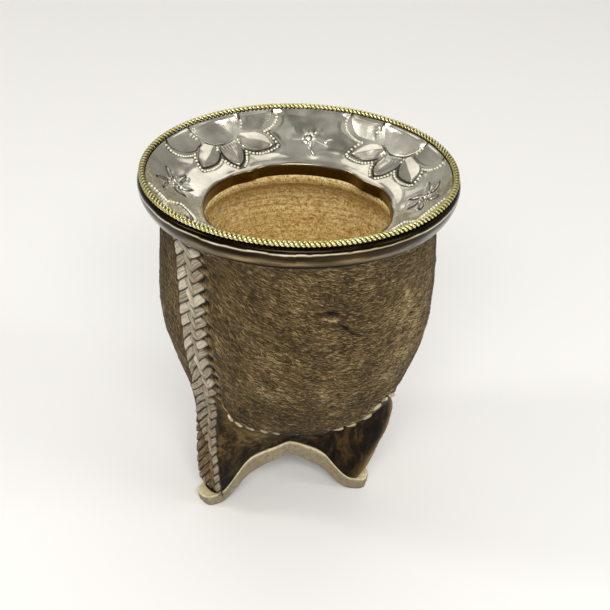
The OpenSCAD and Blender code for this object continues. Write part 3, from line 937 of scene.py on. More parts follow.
def dish_h(back, s):
    h, g = dish_relief(back, s)
    r = 46.35 - 0.80 * s
    a = np.radians(back)
    h = h * sstep((s + 0.1) / 1.3) + wobble(r * np.sin(a), r * np.cos(a)) * sstep(s / 2)
    return h * (1 - sstep((s - 19.4) / 1.2)), g


def build_collar():
    n = 1180
    s = np.linspace(0, _dlen[-1], N_TOP)
    az = np.arange(n) * 360.0 / n
    az2, s2 = np.meshgrid(az, s, indexing="ij")
    back = -adist(az2, 180)
    h, g = dish_h(back, s2)
    P, _ = dish_point(az2, s2, h)
    faces = grid_faces(n, N_TOP, wrap_n=True)
    f = faces[:, ::-1].copy()
    ob = make("collar_dish", P.reshape(-1, 3), f, ("collar",))
    attr(ob, "groove", g)
    # near the mouth the dish is painted a little warm brown: a painted reflection of the gourd
    attr(ob, "warm", 0.0 * g + 0.10 * sstep((s2 - 16) / 4))
    i, j = f // N_TOP, f % N_TOP
    ii = np.where((i == 0) & (i.max(1)[:, None] > n // 2), n, i)
    loop_uv(ob, "ring", np.stack([ii / n * 3.0, j / 60.0], -1).reshape(-1, 2))
    silver = mat_silver()
    give(ob, silver)

    # lip, neck and underside of the same sheet
    n = 500
    prof = np.concatenate([
        spline([[29.9, 99.9], [29.35, 99.45], [29.15, 98.8], [29.1, 98.0], [29.1, 96.6], [29.1, 95.62]], 4),
        np.array([[29.3, 95.58], [29.85, 95.6], [29.9, 98.2], [30.0, 98.7], [30.35, 99.3], [30.9, 99.78],
                  [33.0, 100.98], [36.9, 103.18], [40.9, 106.03], [44.0, 108.78], [45.95, 110.62], [46.25, 111.1], [46.35, 111.5]])])
    m = len(prof)
    az2, k2 = np.meshgrid(np.arange(n) * 360.0 / n, np.arange(m), indexing="ij")
    back = -adist(az2, 180)
    r = prof[k2, 0].copy()
    z = prof[k2, 1].copy()
    u_lip = np.clip(k2 / 3.0, 0, 1) * np.clip((24 - k2) / 5.0, 0, 1)
    for c, wd, amp in ((-35.0, 7.5, 1.3), (47.5, 9.0, 1.8), (57, 4.5, 0.5), (88.0, 5.0, 0.7), (139.0, 6.0, 0.8), (-131.0, 6.0, 0.8), (-52, 5.5, 0.4)):
        r = r - amp * np.exp(-(adist(back, c) / wd) ** 2) * u_lip
    r = r + 0.10 * noise(az2 / 7.0, az2 * 0 + 3, az2 * 0, 3) * u_lip
    a = np.radians(az2)
    P = np.stack([r * np.sin(a), -r * np.cos(a), z], -1)
    faces = grid_faces(n, m, wrap_n=True)
    f = faces[:, ::-1].copy()
    ob2 = make("collar_neck", P.reshape(-1, 3), f, ("collar",))
    # the lip and neck are painted warm brown, a painted reflection of the gourd, and the groove value darkens them a
    # little more: painted shade
    warm = np.where((k2 > 0) & (k2 < 24), 1.0 * sstep(k2 / 6.0), 0)
    attr(ob2, "warm", warm)
    attr(ob2, "groove", warm * 0.25)
    i, j = f // m, f % m
    ii = np.where((i == 0) & (i.max(1)[:, None] > n // 2), n, i)
    loop_uv(ob2, "ring", np.stack([ii / n * 3.0, j / 60.0], -1).reshape(-1, 2))
    give(ob2, silver)

    # beads
    import bmesh
    bm = bmesh.new()
    bmesh.ops.create_icosphere(bm, subdivisions=2, radius=1.0)
    sv = np.array([v.co[:] for v in bm.verts])
    sf = np.array([[v.index for v in q.verts] for q in bm.faces])
    bm.free()
    rng = np.random.RandomState(5)
    V, F, count = [], [], 0
    for k, c in enumerate(FLOWER_BIG):
        by = BEADS[:, 1]
        backs = c + np.degrees(BEADS[:, 0] / (46.35 - 0.62 * by))
        h, _ = dish_h(backs, by)
        p, nn = dish_point(180 - backs, by, h + 0.02)
        for i in range(len(BEADS)):
            e1 = np.cross(nn[i], [0, 0, 1.0])
            e1 /= np.linalg.norm(e1)
            e2 = np.cross(nn[i], e1)
            rad = 0.45 + 0.06 * rng.rand()
            V.append(p[i] + rad * (sv[:, :1] * e1 + sv[:, 1:2] * e2) + 0.50 * sv[:, 2:] * nn[i])
            F.append(sf + count)
            count += len(sv)
    ob3 = make("collar_beads", np.concatenate(V), np.concatenate(F), ("collar",))
    give(ob3, mat_beads())
    return ob


def build_band():
    n = 560
    out = spline([[46.95, 110.95], [48.2, 110.75], [48.85, 110.0], [48.95, 109.0], [48.75, 107.6],
                  [48.2, 106.0], [47.5, 104.7], [46.7, 103.8], [45.6, 103.2], [44.2, 102.97]], 4)
    inn = shifted(out, -0.7)[::-1]
    inn = inn[np.unique(np.r_[0:len(inn):4, len(inn) - 1])]
    prof = np.concatenate([out, inn])
    n_out = len(out)
    kk = np.arange(len(prof)) < n_out

    def disp(az, r, z):
        a = np.radians(az)
        w = 0.05 * noise(np.sin(a) * 48 / 8, np.cos(a) * 48 / 8, z / 4, 21) + 0.012 * noise(np.sin(a) * 48 / 2.0, np.cos(a) * 48 / 2.0, z / 1.5, 22)
        # some flats and small knocks
        knock = np.zeros(r.shape)
        for c, zc, wa, wz, dpt in ((-62, 109.0, 9, 1.0, 0.10), (-48, 108.4, 3, 0.8, 0.10), (-36, 109.2, 3.5, 0.8, 0.10),
                                   (-22, 108.9, 5, 0.9, 0.09), (33, 107.0, 6, 1.2, 0.10), (41, 105.5, 3, 1.0, 0.12), (52, 106, 5, 1.0, 0.1)):
            knock += dpt * np.exp(-(adist(az, c) / wa) ** 2 - ((z - zc) / wz) ** 2)
        return np.minimum(r + (w - knock) * kk[None, :], 48.95), z

    P = revolve(prof, n, disp)
    faces = grid_faces(n, len(prof), wrap_n=True, wrap_m=True)
    f = faces[:, ::-1].copy()
    ob = make("collar_band_visual", P.reshape(-1, 3), f, ("collar_band",))
    # painted light by height: dark under the rope (painted shadow), a bright line (painted highlight), brown below,
    # paler brass-brown low down (painted reflections of the hide and table), dark at the lower edge (painted shade)
    azk = (-180 + 360.0 * np.arange(n) / n)[:, None]
    zk = prof[None, :, 1] + 0.16 * noise(azk / 7.0, azk * 0, azk * 0, 25) + 0.10 * noise(azk / 2.2, azk * 0, azk * 0, 26)
    # the painted highlight line is wider right of the middle of the front
    highlight_wide = sstep((adist(azk, -9)) / 9) * (1 - sstep((adist(azk, 30)) / 12)) * (0.75 + 0.5 * noise(azk / 3.0, azk * 0, azk * 0, 28))
    zc = np.where(zk < 109.27, np.minimum(zk + 0.48 * highlight_wide, 109.27), zk)
    low = np.interp(zc, [103.0, 104.5, 105.0, 105.5, 106.3, 107.0, 107.7, 108.7, 109.00, 109.12, 109.42, 109.56, 111.0],
                    [1.0, 0.98, 0.66, 0.50, 0.50, 0.72, 0.84, 0.84, 0.35, 0.05, 0.05, 0.9, 1.0])
    # gold: painted golden reflection of the hide, right of the front and left of it beside the plait
    gold_reflection = sstep((adist(azk, 34)) / 10) * (1 - sstep((adist(azk, 74)) / 12))
    gold_reflection_left = sstep((adist(azk, -46)) / 8) * (1 - sstep((adist(azk, -14)) / 10))
    low = np.where(zk < 107, low - 0.14 * gold_reflection, low)
    low = np.where(zk < 108.6, low - 0.12 * gold_reflection_left, low)
    low = np.clip(low + 0.14 * noise(azk / 9.0, zk / 1.2, azk * 0, 27), 0, 1)
    low = np.where(kk[None, :], low, 1.0)
    attr(ob, "low", np.broadcast_to(low, (n, len(prof))))
    i, j = f // len(prof), f % len(prof)
    ii = np.where((i == 0) & (i.max(1)[:, None] > n // 2), n, i)
    loop_uv(ob, "ring", np.stack([ii / n * 3.0, j / 60.0], -1).reshape(-1, 2))
    give(ob, mat_band())
    return ob


def build_rope():
    turns, per, side = 94, 13, 9
    n = turns * per
    R, Z, off, rad = 47.5, 112.0, 0.495, 0.515
    verts, faces, gr = [], [], []
    t = np.arange(n) / n
    az = 2 * np.pi * t
    ring = np.arange(side) * 2 * np.pi / side
    for s in (0, 1):
        # laid tighter in front and behind than at the two sides
        ph = -2 * np.pi * turns * t - 5.6 * np.sin(2 * az) + s * np.pi
        jit = 1 + 0.05 * noise(t * 60, t * 0, t * 0 + s, 31)
        # offsets in the section plane: u outward, v up (twist to the right)
        u, v = off * np.cos(ph), off * np.sin(ph)
        cx = (R + u)
        c = np.stack([cx * np.sin(az), -cx * np.cos(az), Z + v], -1)
        tang = np.roll(c, -1, 0) - np.roll(c, 1, 0)
        tang /= np.linalg.norm(tang, axis=1)[:, None]
        rad_dir = np.stack([np.sin(az), -np.cos(az), az * 0], -1)
        e1 = rad_dir * np.cos(ph)[:, None] + np.array([0, 0, 1.0]) * np.sin(ph)[:, None]
        e1 = e1 - tang * (e1 * tang).sum(1)[:, None]
        e1 /= np.linalg.norm(e1, axis=1)[:, None]
        e2 = np.cross(tang, e1)
        pts = c[:, None, :] + rad * jit[:, None, None] * (np.cos(ring)[None, :, None] * e1[:, None, :] + np.sin(ring)[None, :, None] * e2[:, None, :])
        base = len(verts) * 0 + s * n * side
        verts.append(pts.reshape(-1, 3))
        f = grid_faces(n, side, wrap_n=True, wrap_m=True, base=base)
        faces.append(f)
        # painted shade on the flanks of the strands, in the grooves between them; it reaches further round each strand
        # at the two sides of the rim than in front
        side_shade = np.sin(az)[:, None] ** 2
        flank = np.abs(((np.degrees(ring) + 180) % 360) - 180)[None, :]
        gr.append((np.clip((flank - (54 - 30 * side_shade)) / (44 - 16 * side_shade), 0, 1) * (0.80 + 0.20 * side_shade)).ravel())
    ob = make("twisted_brass_wire", np.concatenate(verts), np.concatenate(faces), ("rope_wire",))
    attr(ob, "groove", np.concatenate(gr))
    give(ob, mat_brass())
    return ob


# ----------------------------------------------------------------------------
# gourd
# ----------------------------------------------------------------------------
def build_gourd():
    n = 300
    outer = shifted(BODY, 1.82)
    outer = outer[outer[:, 1] < 101.4]
    inner = shifted(BODY, 6.8)
    inner = inner[inner[:, 1] < 84][::-1]
    rim = np.array([[40.6, 104.6], [39, 104.4], [37, 103.05], [35, 101.9], [33, 100.85], [31.2, 99.85], [30.5, 99.3]])
    lipp = spline([[30.0, 98.6], [30.0, 96.4], [29.98, 95.56], [29.5, 95.54], [29.2, 95.5], [29.02, 95.1], [29.1, 94.0], [30.0, 92.2], [32.3, 90.2], [34.4, 87.4]], 4)
    inner = resample(inner, 60)
    outer = resample(outer, 16)
    prof = np.concatenate([outer, rim, lipp, inner])
    inside = np.arange(len(prof)) >= len(outer) + len(rim) + 8

    def disp(az, r, z):
        a = np.radians(az)
        w = 0.16 * fbm(np.sin(a) * r / 6, np.cos(a) * r / 6, z / 5, 3, 41) + 0.07 * noise(np.sin(a) * 3, np.cos(a) * 3, z / 0.8, 44)
        return r + w * inside[None, :] * np.clip(r / 6, 0, 1), z

    P = revolve(prof, n, disp)
    m = len(prof)
    faces = grid_faces(n, m, wrap_n=True)
    first, last = 0, m - 1
    P[:, first, :2] = 0
    P[:, last, :2] = 0
    P[:, last, 2] = P[:, last, 2].mean()
    f = faces[:, ::-1].copy()
    ob = make("gourd_shell", P.reshape(-1, 3), f, ("gourd",))
    i, j = f // m, f % m
    ii = np.where((i == 0) & (i.max(1)[:, None] > n // 2), n, i)
    zz = np.concatenate([[0], np.cumsum(np.linalg.norm(np.diff(prof, axis=0), axis=1))])
    loop_uv(ob, "wall", np.stack([ii / n * 2.4, zz[j] / 100.0], -1).reshape(-1, 2))
    import bmesh
    bm = bmesh.new()
    bm.from_mesh(ob.data)
    bmesh.ops.remove_doubles(bm, verts=bm.verts, dist=1e-6)
    bm.to_mesh(ob.data)
    bm.free()
    give(ob, mat_gourd())
    return ob


# ----------------------------------------------------------------------------
# hide cover
# ----------------------------------------------------------------------------
def lace_side_pts():
    """heights of the lace holes on the right edge of the plait"""
    return np.arange(99.6, 46.5, -PITCH)


HOLES = lace_side_pts()
FLOW_AZ = [-180, -110, -60, -44, -30, -12, 10, 30, 48, 66, 84, 110, 180]
FLOW_SL = [0.10, -0.30, -1.20, -1.25, -0.82, -0.50, -0.30, -0.04, 0.16, 0.42, 0.60, 0.25, 0.10]


def flow_slope(az, z):
    """rise of the hair per mm to the right: it falls steeply beside the plait, levels out, and climbs at the right"""
    sl = np.interp(adist(az, 0), FLOW_AZ, FLOW_SL)
    low = sstep((56 - z) / 22)
    sl = sl * (1 - 0.55 * low)
    sl = sl + 0.30 * noise(np.sin(np.radians(az)) * 5.0, np.cos(np.radians(az)) * 5.0, z / 9.0, 101) * (0.5 + 0.5 * sstep((np.abs(adist(az, 30)) < 40) * 1.0))
    return sl


def cover_shape(az, z):
    """outer displacement of the hide, and where it is dark or pale"""
    rr = body_r(z)
    zz = np.clip(z, 45, 103)
    arc = np.radians((az - braid_az(zz)) % 360) * rr           # mm to the right of the plait's middle
    a = np.radians(az)
    x3, y3 = rr * np.sin(a), rr * np.cos(a)
    big = 0.40 * fbm(x3 / 16, y3 / 16, z / 14, 2, 51) + 0.20 * fbm(x3 / 5, y3 / 5, z / 4, 2, 57)
    # short wrinkles that run with the hair
    side = adist(az, 0)
    sl = np.interp(side, FLOW_AZ, FLOW_SL)
    cc = z - sl * arc
    wr = 0.17 * noise(arc / 5.0, cc / 1.5, z * 0, 61) + 0.10 * noise(arc / 2.2, cc / 0.8, z * 0, 67)
    rows = 0.34 * noise(arc / 9.0, cc / 1.1, z * 0, 69) * sstep((adist(az, 22)) / 20) * (1 - sstep((adist(az, 80)) / 14)) * sstep((z - 58) / 8)
    wr = wr + rows
    d = big + wr
    dark = np.zeros(np.shape(d))
    pale = np.zeros(np.shape(d))
    # lace holes and the puckers they pull
    edge = bw(zz) / 2
    k = np.clip(np.round((HOLES[0] - z) / PITCH), 0, len(HOLES) - 1)
    zk = HOLES[0] - k * PITCH
    e = ((arc - edge - 0.20 - 0.20 * np.sin(k * 2.1)) / 1.30) ** 2 + ((z - zk + 0.25 * (arc - edge)) / (0.92 + 0.12 * np.sin(k * 3.7))) ** 2
    dark = np.maximum(dark, np.exp(-e ** 2 * 0.7))
    d = d - 1.35 * np.exp(-e)
    pk = np.cos(2 * np.pi * (z - zk) / PITCH)
    fall = np.exp(-np.clip(arc - edge, 0, None) / 3.6) * (arc > edge - 1.2) * (arc < 60) * (z > 46)
    fan = noise(arc / 6.0, (z - zk) / (0.42 + 0.13 * np.clip(arc - edge, 0, 6)), k, 73)
    d = d - 0.26 * pk * fall + 0.17 * fan * fall
    pale = np.maximum(pale, (0.70 * np.clip(-pk, 0, 1) ** 2 * np.exp(-((arc - edge - 1.2) / 1.3) ** 2) * (z > 46) * (0.45 + 0.55 * noise(z / 3, arc / 2, z * 0, 71))))
    pale = np.maximum(pale, 0.35 * np.clip(fan, 0, 1) * fall)
    # the plait presses the cover in
    dd = np.abs(np.radians(adist(az, braid_az(zz))) * rr)
    d = d - 0.35 * (1 - sstep((dd - edge + 1) / 1.2)) * (z > 46)
    # rolled edge above the whip stitches of the base
    zs = seam_z(az)
    roll = np.exp(-((z - zs - 1.6) / 0.85) ** 2)
    crease = np.exp(-((z - zs - 3.3) / 0.35) ** 2)
    front = sstep((adist(az, -44)) / 8) * (1 - sstep((adist(az, 66)) / 10))
    wav = 0.7 + 0.3 * noise(az / 5.0, az * 0, az * 0, 63)
    middle = sstep((adist(az, -16)) / 8) * (1 - sstep((adist(az, 20)) / 9))
    d = d + (0.60 * front + 0.12) * roll * wav - 0.30 * crease * front * wav + 0.55 * middle * np.exp(-((z - zs - 1.9) / 1.4) ** 2)
    pale = np.maximum(pale, 0.60 * np.exp(-((z - zs - 2.2) / 0.38) ** 2) * front * (1 - middle) * (0.6 + 0.8 * noise(az / 2.0, z * 0, z * 0, 64)))
    dark = np.maximum(dark, 0.55 * np.exp(-((z - zs - 3.3) / 0.34) ** 2) * front * (1 - middle))
    arcs = np.radians(az) * rr
    d = d - 0.22 * np.cos(2 * np.pi * arcs / 4.1) * np.exp(-((z - zs - 0.9) / 1.1) ** 2)

    def spot(az0, z0, w, hgt, ang):
        p, q = np.radians(adist(az, az0)) * rr, z - z0
        c_, s_ = math.cos(math.radians(ang)), math.sin(math.radians(ang))
        u_, v_ = p * c_ + q * s_, -p * s_ + q * c_
        return (u_ / w) ** 2 + (v_ / hgt) ** 2

    # scars and nicks of the hide: dark hollows, and light slivers under them
    for az0, z0, w, hgt, ang, dep, dk in ((15.0, 85.9, 2.9, 0.80, -18, 1.1, 1.0), (12.4, 86.4, 1.8, 0.6, -8, 0.5, 0.6),
                                          (20.0, 80.8, 2.8, 0.66, -38, 0.9, 1.0), (23.5, 78.2, 1.9, 0.55, -30, 0.6, 0.95),
                                          (28.5, 78.0, 2.0, 0.38, -12, 0.4, 0.8), (33.5, 76.0, 2.0, 0.32, -10, 0.3, 0.55),
                                          (22.0, 86.5, 3.2, 1.8, -20, 0.35, 0.42), (27.5, 83.5, 3.0, 1.6, -25, 0.35, 0.42),
                                          (18.6, 89.6, 2.6, 1.2, -12, 0.25, 0.35), (30.0, 88.4, 2.2, 0.5, 10, 0.25, 0.4),
                                          (40.0, 76.0, 2.6, 0.34, 12, 0.35, 0.55), (47.0, 73.5, 2.8, 0.34, 14, 0.35, 0.55),
                                          (54.0, 77.5, 2.6, 0.34, 18, 0.35, 0.5), (43.0, 84.5, 2.2, 0.34, 16, 0.3, 0.5),
                                          (50.0, 90.0, 2.4, 0.34, 16, 0.3, 0.5), (60.0, 70.0, 2.4, 0.34, 20, 0.3, 0.45),
                                          (53.8, 87.2, 0.50, 1.55, -12, 0.9, 0.97), (53.0, 85.2, 0.9, 0.5, 20, 0.3, 0.6),
                                          (1.5, 74.0, 2.6, 1.3, -14, 0.3, 0.35), (-10.0, 62.0, 2.6, 1.2, -20, 0.25, 0.35),
                                          (-17.6, 78.0, 2.4, 0.9, -40, 0.25, 0.30), (9.0, 92.0, 2.4, 0.7, -10, 0.2, 0.3),
                                          (8.0, 57.0, 2.2, 0.8, -6, 0.25, 0.4), (24.0, 58.0, 2.4, 0.5, 4, 0.3, 0.45),
                                          (30.0, 50.0, 2.8, 0.4, 12, 0.3, 0.5), (2.0, 46.0, 3.0, 0.4, -2, 0.3, 0.5),
                                          (-14.0, 48.0, 3.0, 0.4, -12, 0.3, 0.5)):
        e = spot(az0, z0, w, hgt, ang)
        d = d - dep * np.exp(-e)
        dark = np.maximum(dark, dk * np.exp(-e ** 1.6))
    for az0, z0, w, hgt, ang, am in ((13.0, 84.3, 1.9, 0.34, -10, 1.0), (15.3, 83.7, 1.0, 0.30, -40, 1.0), (10.9, 84.9, 0.6, 0.34, 20, 0.7),
                                     (26.4, 96.6, 1.8, 0.35, 6, 0.6), (23.0, 94.6, 1.2, 0.30, 10, 0.4), (30.5, 93.0, 1.6, 0.3, 14, 0.45),
                                     (52.5, 83.6, 1.3, 0.5, 24, 0.5), (50.0, 85.0, 0.5, 1.6, -8, 0.45), (48.0, 80.0, 1.6, 0.4, 18, 0.4),
                                     (14.8, 72.2, 1.8, 0.34, 24, 0.6), (17.0, 70.8, 1.6, 0.32, 30, 0.6), (11.8, 74.6, 1.5, 0.34, -8, 0.55),
                                     (17.6, 68.8, 1.9, 0.34, 26, 0.55), (13.4, 76.4, 1.1, 0.3, -4, 0.45), (20.5, 66.0, 1.5, 0.4, 20, 0.45),
                                     (14.8, 55.4, 0.8, 0.8, 0, 0.45), (17.4, 52.0, 0.9, 0.7, 10, 0.5), (26.4, 54.2, 1.6, 0.5, 20, 0.45),
                                     (20.0, 47.0, 1.8, 0.5, 8, 0.4), (5.0, 50.0, 1.4, 0.5, -6, 0.35), (31.4, 79.6, 1.5, 0.3, -12, 0.5),
                                     (-71.2, 68.8, 0.8, 3.6, 6, 0.60), (-74.0, 62.0, 0.5, 3.0, 8, 0.45), (45.4, 70.0, 2.0, 0.3, 16, 0.35),
                                     (42.4, 58.0, 2.0, 0.5, 26, 0.35), (-9.6, 86.0, 1.2, 0.4, -30, 0.3)):
        e = spot(az0, z0, w, hgt, ang)
        d = d + 0.14 * np.exp(-e)
        pale = np.maximum(pale, am * np.exp(-e ** 1.5))
    # thin turned edge under the collar
    d = d + 0.25 * np.exp(-((z - 101.9) / 0.35) ** 2)
    pale = np.maximum(pale, 0.40 * np.exp(-((z - 101.8) / 0.30) ** 2))
    d = np.where(z > 102.3, np.minimum(rr + d, 43.95) - rr, d)
    return d, np.clip(dark, 0, 1), np.clip(pale, 0, 1)


def cover_light(az, z):
    side = adist(az, 0)
    light = np.interp(side, [-180, -60, -10, 15, 32, 50, 75, 95, 110, 180], [0.35, 0.05, 0.10, 0.38, 0.55, 0.80, 0.45, 0.3, 0.3, 0.35])
    light = light * np.interp(z, [20, 40, 55, 75, 98, 103], [0.0, 0.02, 0.45, 1.0, 0.75, 0.6])
    return np.clip(light + 0.25 * noise(np.sin(np.radians(az)) * 4, np.cos(np.radians(az)) * 4, z / 11, 77), 0, 1)


def build_cover():
    n = 576
    out = BODY[(BODY[:, 1] > 19.0)]
    out = np.concatenate([resample(out[out[:, 1] < 28], 12)[:-1], resample(out[out[:, 1] >= 28], 128)])
    inn = resample(shifted(BODY, 1.75), 24)[::-1]
    prof = np.concatenate([out, inn])
    n_out = len(out)
    m = len(prof)
    z = np.broadcast_to(prof[None, :, 1], (n, m)).copy()
    r = np.broadcast_to(prof[None, :, 0], (n, m)).copy()
    # columns start and end under the middle of the plait; closer together just right of it
    t = np.arange(n) / n
    tt = t - 0.0875 * np.sin(2 * np.pi * t)
    zz = np.clip(z, 45, 103)
    az = braid_az(zz) + 360 * tt[:, None]
    rr = body_r(z)
    arc = np.radians(360 * tt[:, None]) * rr
    k_out = (np.arange(m) < n_out)[None, :]
    d, dark, pale = cover_shape(az, z)
    r = np.where(k_out, r + d * np.clip(rr / 10, 0, 1), r)
    a = np.radians(az)
    P = np.stack([r * np.sin(a), -r * np.cos(a), z], -1)
    P[:, 0, :2] = 0
    P[:, m - 1, :2] = 0
    faces = grid_faces(n, m, wrap_n=True)
    f = faces[:, ::-1].copy()
    ob = make("hide_cover_visual", P.reshape(-1, 3), f, ("hide_cover",))
    attr(ob, "light", cover_light(az, z))
    attr(ob, "dark", dark)
    attr(ob, "pale", pale)
    i, j = f // m, f % m
    wrapq = (i == 0) & (i.max(1)[:, None] > n // 2)
    # flow coordinates: along the hair, and across it
    fx = np.linspace(0, 290, 800)
    az_f = adist(-43 + np.degrees(fx / 42.0), 0)
    sl = np.interp(az_f, FLOW_AZ, FLOW_SL)
    F = np.concatenate([[0], np.cumsum(sl[:-1] * np.diff(fx))])
    A = np.where(wrapq, np.radians(360) * rr[i, j], arc[i, j])
    cz = z[i, j] - np.interp(A, fx, F)
    loop_uv(ob, "flow", np.stack([A / 100.0, cz / 100.0], -1).reshape(-1, 2))
    give(ob, mat_hide())
    return ob


def build_hairs(count=43000):
    """the short flat-lying hairs of the cover, each a narrow pointed blade"""
    rng = np.random.RandomState(11)
    z = 27.0 + (102.0 - 27.0) * rng.rand(int(count * 1.5))
    az = -180 + 360 * rng.rand(len(z))
    keep = rng.rand(len(z)) < body_r(z) / 43.2
    z, az = z[keep], az[keep]
    zs = seam_z(az)
    arc = np.radians((az - braid_az(np.clip(z, 45, 103))) % 360) * body_r(z)
    arc = np.where(arc > np.pi * body_r(z), arc - 2 * np.pi * body_r(z), arc)
    smooth_ = 2.2 * sstep((adist(az, -44)) / 8) * (1 - sstep((adist(az, 66)) / 10))
    ok = (z > zs + 0.9 + smooth_ * rng.rand(len(z))) & (np.abs(arc) > bw(z) / 2 + 0.3 + 0.5 * (arc > 0))
    z, az = z[ok], az[ok]
    # none in the nicks and lace holes
    _, dk0, pl0 = cover_shape(az, z)
    bare = (dk0 < 0.32) & (pl0 < 0.72)
    z, az = z[bare], az[bare]
    az_e = az + np.degrees(1.3 / body_r(z))
    _, dk0, _ = cover_shape(az_e, z + 1.3 * flow_slope(az, z))
    z, az = z[dk0 < 0.5][:count], az[dk0 < 0.5][:count]
    m = len(z)
    sl = flow_slope(az, z)
    th = np.arctan(sl) + np.radians(17) * rng.randn(m)
    L = 1.0 + 1.2 * rng.rand(m)
    bend = np.radians(16) * rng.randn(m)
    w = 0.05 + 0.045 * rng.rand(m)
    lift = (0.015 + 0.02 * rng.rand(m), 0.07 + 0.07 * rng.rand(m), 0.05 + 0.17 * rng.rand(m))
    rows = []
    az_k, z_k = az.copy(), z.copy()
    for k in range(3):
        if k:
            tk = th + bend * (k - 1)
            az_k = az_k + np.degrees(np.cos(tk) * L / 2 / body_r(z_k))
            z_k = z_k + np.sin(tk) * L / 2
        zc = np.minimum(z_k, 102.1)
        d, _, _ = cover_shape(az_k, zc)
        r = body_r(zc) + d + lift[k]
        a = np.radians(az_k)
        c = np.stack([r * np.sin(a), -r * np.cos(a), zc], -1)
        # across direction in the surface
        tk = th + bend * (k - 0.5)
        ax = -np.sin(tk)
        e = np.stack([np.cos(a) * ax, np.sin(a) * ax, np.cos(tk)], -1)
        ww = (w, w * 0.9, w * 0)[k][:, None]
        rows.append((c - e * ww, c + e * ww) if k < 2 else (c,))
    V = np.stack([rows[0][0], rows[0][1], rows[1][0], rows[1][1], rows[2][0]], 1).reshape(-1, 3)
    b = (np.arange(m) * 5)[:, None]
    T = np.concatenate([b + [0, 1, 3], b + [0, 3, 2], b + [2, 3, 4]])
    ob = make("hide_hairs", V, T, ("hide_cover",))
    rr = body_r(z)
    arc = np.radians((az - braid_az(np.clip(z, 45, 103))) % 360) * rr
    cc = z - np.interp(adist(az, 0), FLOW_AZ, FLOW_SL) * arc
    arc = arc + 0.9 * noise(az / 1.6, z / 1.2, z * 0, 117)
    cc = cc + 0.45 * noise(az / 1.8, z / 1.3, z * 0, 118)
    # locks of hair lie together and share their tone
    lock = 0.95 * noise(arc / 0.95, cc / 0.27, z * 0, 112) + 0.34 * noise(arc / 3.0, cc / 0.7, z * 0, 113)
    patch = fbm(az / 10.0, z / 8.0, z * 0, 2, 114)
    dusk = np.exp(-(adist(az, 18) / 20) ** 2 - ((z - 84) / 9) ** 2)
    glow = np.exp(-(adist(az, 52) / 16) ** 2 - ((z - 72) / 24) ** 2)
    glow_l = np.exp(-(adist(az, -66) / 13) ** 2)
    # towards the top the hairs are darkened: painted shadow of the collar; they are also darker low down
    shade = 0.345 + 0.22 * rng.randn(m) + 0.60 * lock + 0.54 * patch - 0.26 * dusk + 0.30 * glow + 0.34 * glow_l - 0.46 * sstep((60 - z) / 18) - 0.09 * sstep((z - 91) / 7)
    shade = np.where(rng.rand(m) < 0.05, shade + 0.35, shade)
    _, dk, pl = cover_shape(az, z)
    shade = np.clip(shade - 1.1 * dk + 0.40 * pl, 0, 1)
    attr(ob, "shade", np.repeat(shade, 5))
    attr(ob, "tip", np.tile([0, 0, 0.5, 0.5, 1.0], m))
    attr(ob, "light", np.repeat(cover_light(az, z), 5))
    give(ob, mat_hair())
    return ob


# ----------------------------------------------------------------------------
# sole
# ----------------------------------------------------------------------------
def sole_flare(az):
    """the rim of the leather curls out a little at the tip of each foot"""
    return (1.15 * sstep(1 - np.abs(adist(az, LEG_AZ[0])) / 17) + 0.35 * sstep(1 - np.abs(adist(az, LEG_AZ[1])) / 15)
            + 0.5 * sstep(1 - np.abs(adist(az, LEG_AZ[2])) / 15))


def vledge(az):
    """visible strip of the sole outside the base hide"""
    return 0.55 + 2.5 * sstep(foot(az, 0) * 1.2) + 2.2 * sstep(foot(az, 1)) + 2.0 * sstep(foot(az, 2))


